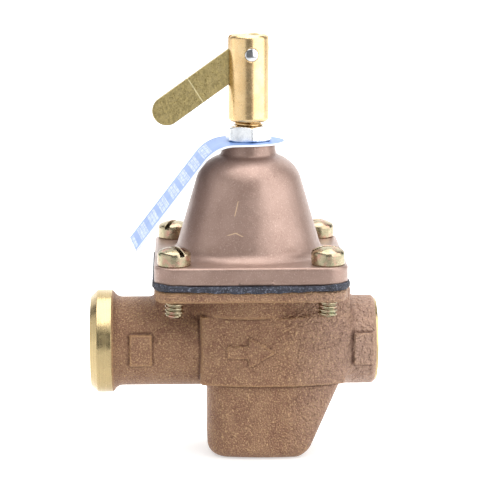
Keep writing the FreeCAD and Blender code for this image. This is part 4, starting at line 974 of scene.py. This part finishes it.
# ------------------------------------------------------------------ fast-fill lever
# Blanked from 2 mm brass strip and tumbled, which leaves it dull and mottled with softened edges. Its round tail
# sits off the pin's centre, so that lifting it pushes the plunger down. A faint bend mark crosses it.
LEVER_DROP, LEVER_INSET, LEVER_OFFSET, LEVER_HALF, LEVER_LENGTH = math.radians(34.7), 2.66, 0.36, 4.85, 35.7


def lever_place(x, y, z):
    """Distance from the pin toward the tip, distance toward the lower edge, and distance across the plate."""
    u, v = in_screw(x, y)
    forward = -u * math.cos(LEVER_DROP) - (z - PIN_Z) * math.sin(LEVER_DROP)
    sideways = u * math.sin(LEVER_DROP) - (z - PIN_Z) * math.cos(LEVER_DROP)
    return forward, sideways, v


def lever_form(x, y, z):
    """Signed distance to the lever."""
    forward, sideways, v = lever_place(x, y, z)
    tip = LEVER_LENGTH - LEVER_INSET
    beyond = forward - np.clip(forward, -LEVER_INSET, tip)
    outline = np.hypot(beyond, sideways + LEVER_OFFSET) - LEVER_HALF
    form = meet(outline, abs(v) - 1.0, 0.3)
    return meet(form, -(np.hypot(forward, sideways) - 2.26), 0.1)


def tumbled_brass():
    """Dull mottled brass with small nicks, crossed by one fine bright bend mark."""
    material, tree, shader, place = new_material("tumbled brass")
    tone = blend_colour(tree, grain(tree, place, 2.2), "#998a5e", "#aa9a6e")
    mottle = blend_colour(tree, grain(tree, place, 0.7, 0.4, 0.7, 3.0), tone, "#b8a671")
    nicks = blend_colour(tree, grain(tree, place, 0.5, 0.6, 0.72), mottle, "#76663b")
    mark = add(tree, "ShaderNodeVectorMath", {"operation": "DOT_PRODUCT"}, {0: place})
    tilt = LEVER_DROP - math.radians(2)
    level = -math.cos(tilt)
    direction = Vector((level * math.cos(LEVER_YAW), level * math.sin(LEVER_YAW), -math.sin(tilt)))
    mark.inputs[1].default_value = direction
    bend_mark = direction.z * PIN_Z + 21.5
    away = add(tree, "ShaderNodeMath", {"operation": "SUBTRACT", 1: bend_mark}, {0: (mark, "Value")})
    near = add(tree, "ShaderNodeMath", {"operation": "ABSOLUTE"}, {0: away})
    line = add(tree, "ShaderNodeMapRange", {"From Min": 0.26, "From Max": 0.1, "To Max": 0.7}, {"Value": near})
    feed(tree, shader, "Base Color", blend_colour(tree, line, nicks, "#efe3b4"))
    shader.inputs["Metallic"].default_value = 0.95
    roughen(tree, shader, place, 0.34, 0.5, 1.1)
    feed(tree, shader, "Normal", bump(tree, grain(tree, place, 0.7, 0.3, 0.7, 3.0), 0.018))
    return material


lever_low, lever_high = (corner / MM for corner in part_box("fast_fill_lever"))
lever = make_piece("brass_lever", [skin(lever_form, lever_low, lever_high, 0.3)],
                   [tumbled_brass()])
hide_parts("fast_fill_lever")
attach(lever, "fast_fill_lever")

# ------------------------------------------------------------------ floor, light and camera
# A pale sheet under and behind the valve, which glows more toward the back. Four soft panels: one on each side
# with a dark gap where the camera looks through, one overhead and one above the camera.


def sheet():
    """One pale sheet, flat under the valve and swept up behind it."""
    flat_end, sweep, half_width = 0.75, 0.4, 1.3
    profile = [(-0.42, 0.0), (flat_end, 0.0)]
    for angle in np.linspace(0.1, math.pi / 2, 12):
        profile.append((flat_end + sweep * math.sin(angle), sweep - sweep * math.cos(angle)))
    profile.append((flat_end + sweep, 1.5))
    mesh = bpy.data.meshes.new("pale sheet")
    points = [(side, y, z) for y, z in profile for side in (-half_width, half_width)]
    faces = [(2 * i, 2 * i + 1, 2 * i + 3, 2 * i + 2) for i in range(len(profile) - 1)]
    mesh.from_pydata(points, [], faces)
    mesh.polygons.foreach_set("use_smooth", [True] * len(faces))
    floor = bpy.data.objects.new("pale_sheet", mesh)
    bpy.context.collection.objects.link(floor)
    material, tree, shader, place = new_material("pale paper")
    shader.inputs["Base Color"].default_value = srgb("#d2d2d2")
    shader.inputs["Roughness"].default_value = 0.9
    shader.inputs["Emission Color"].default_value = (1, 1, 1, 1)
    split = add(tree, "ShaderNodeSeparateXYZ", {}, {"Vector": place})
    glow = add(tree, "ShaderNodeMapRange", {"From Min": -60.0, "From Max": 40.0, "To Min": 0.05, "To Max": 0.95},
               {"Value": (split, "Y")})
    feed(tree, shader, "Emission Strength", glow)
    mesh.materials.append(material)


def panel(name, azimuth, distance, centre_height, width, height, radiance, aim_height=0.07):
    """A soft panel round the valve, in metres, its azimuth in degrees from the front toward the right."""
    light = bpy.data.lights.new(name, "AREA")
    light.shape = "RECTANGLE"
    light.size, light.size_y = width, height
    light.energy = radiance * math.pi * width * height
    lamp = bpy.data.objects.new(name, light)
    bpy.context.collection.objects.link(lamp)
    angle = math.radians(azimuth)
    lamp.location = (distance * math.sin(angle), -distance * math.cos(angle), centre_height)
    aim = Vector((0, 0, aim_height)) - lamp.location
    lamp.rotation_euler = aim.to_track_quat("-Z", "Y").to_euler()
    lamp.visible_camera = False


sheet()
panel("right panel", 60, 0.62, 0.34, 0.92, 0.72, 2.5, 0.3)
panel("left panel", -66, 0.62, 0.20, 1.4, 0.44, 0.95, 0.2)
panel("top panel", 30, 0.05, 1.0, 1.2, 1.3, 3.2)
panel("front panel", 12, 0.62, 0.66, 0.8, 0.36, 0.7)

world = bpy.data.worlds.new("dim room")
world.use_nodes = True
world.node_tree.nodes["Background"].inputs["Color"].default_value = (1, 1, 1, 1)
world.node_tree.nodes["Background"].inputs["Strength"].default_value = 0.22
bpy.context.scene.world = world
bpy.context.scene.view_settings.view_transform = "Standard"

camera = bpy.data.objects.new("camera", bpy.data.cameras.new("camera"))
bpy.context.collection.objects.link(camera)
camera.data.lens = 150.4
camera.data.sensor_width = 36
camera.data.clip_start = 0.01
camera.location = (-0.024, -0.690, 0.2003)
camera.rotation_mode = "QUATERNION"
camera.rotation_quaternion = (Vector((0.0005, 0, 0.0682)) - camera.location).to_track_quat("-Z", "Y")
bpy.context.scene.camera = camera
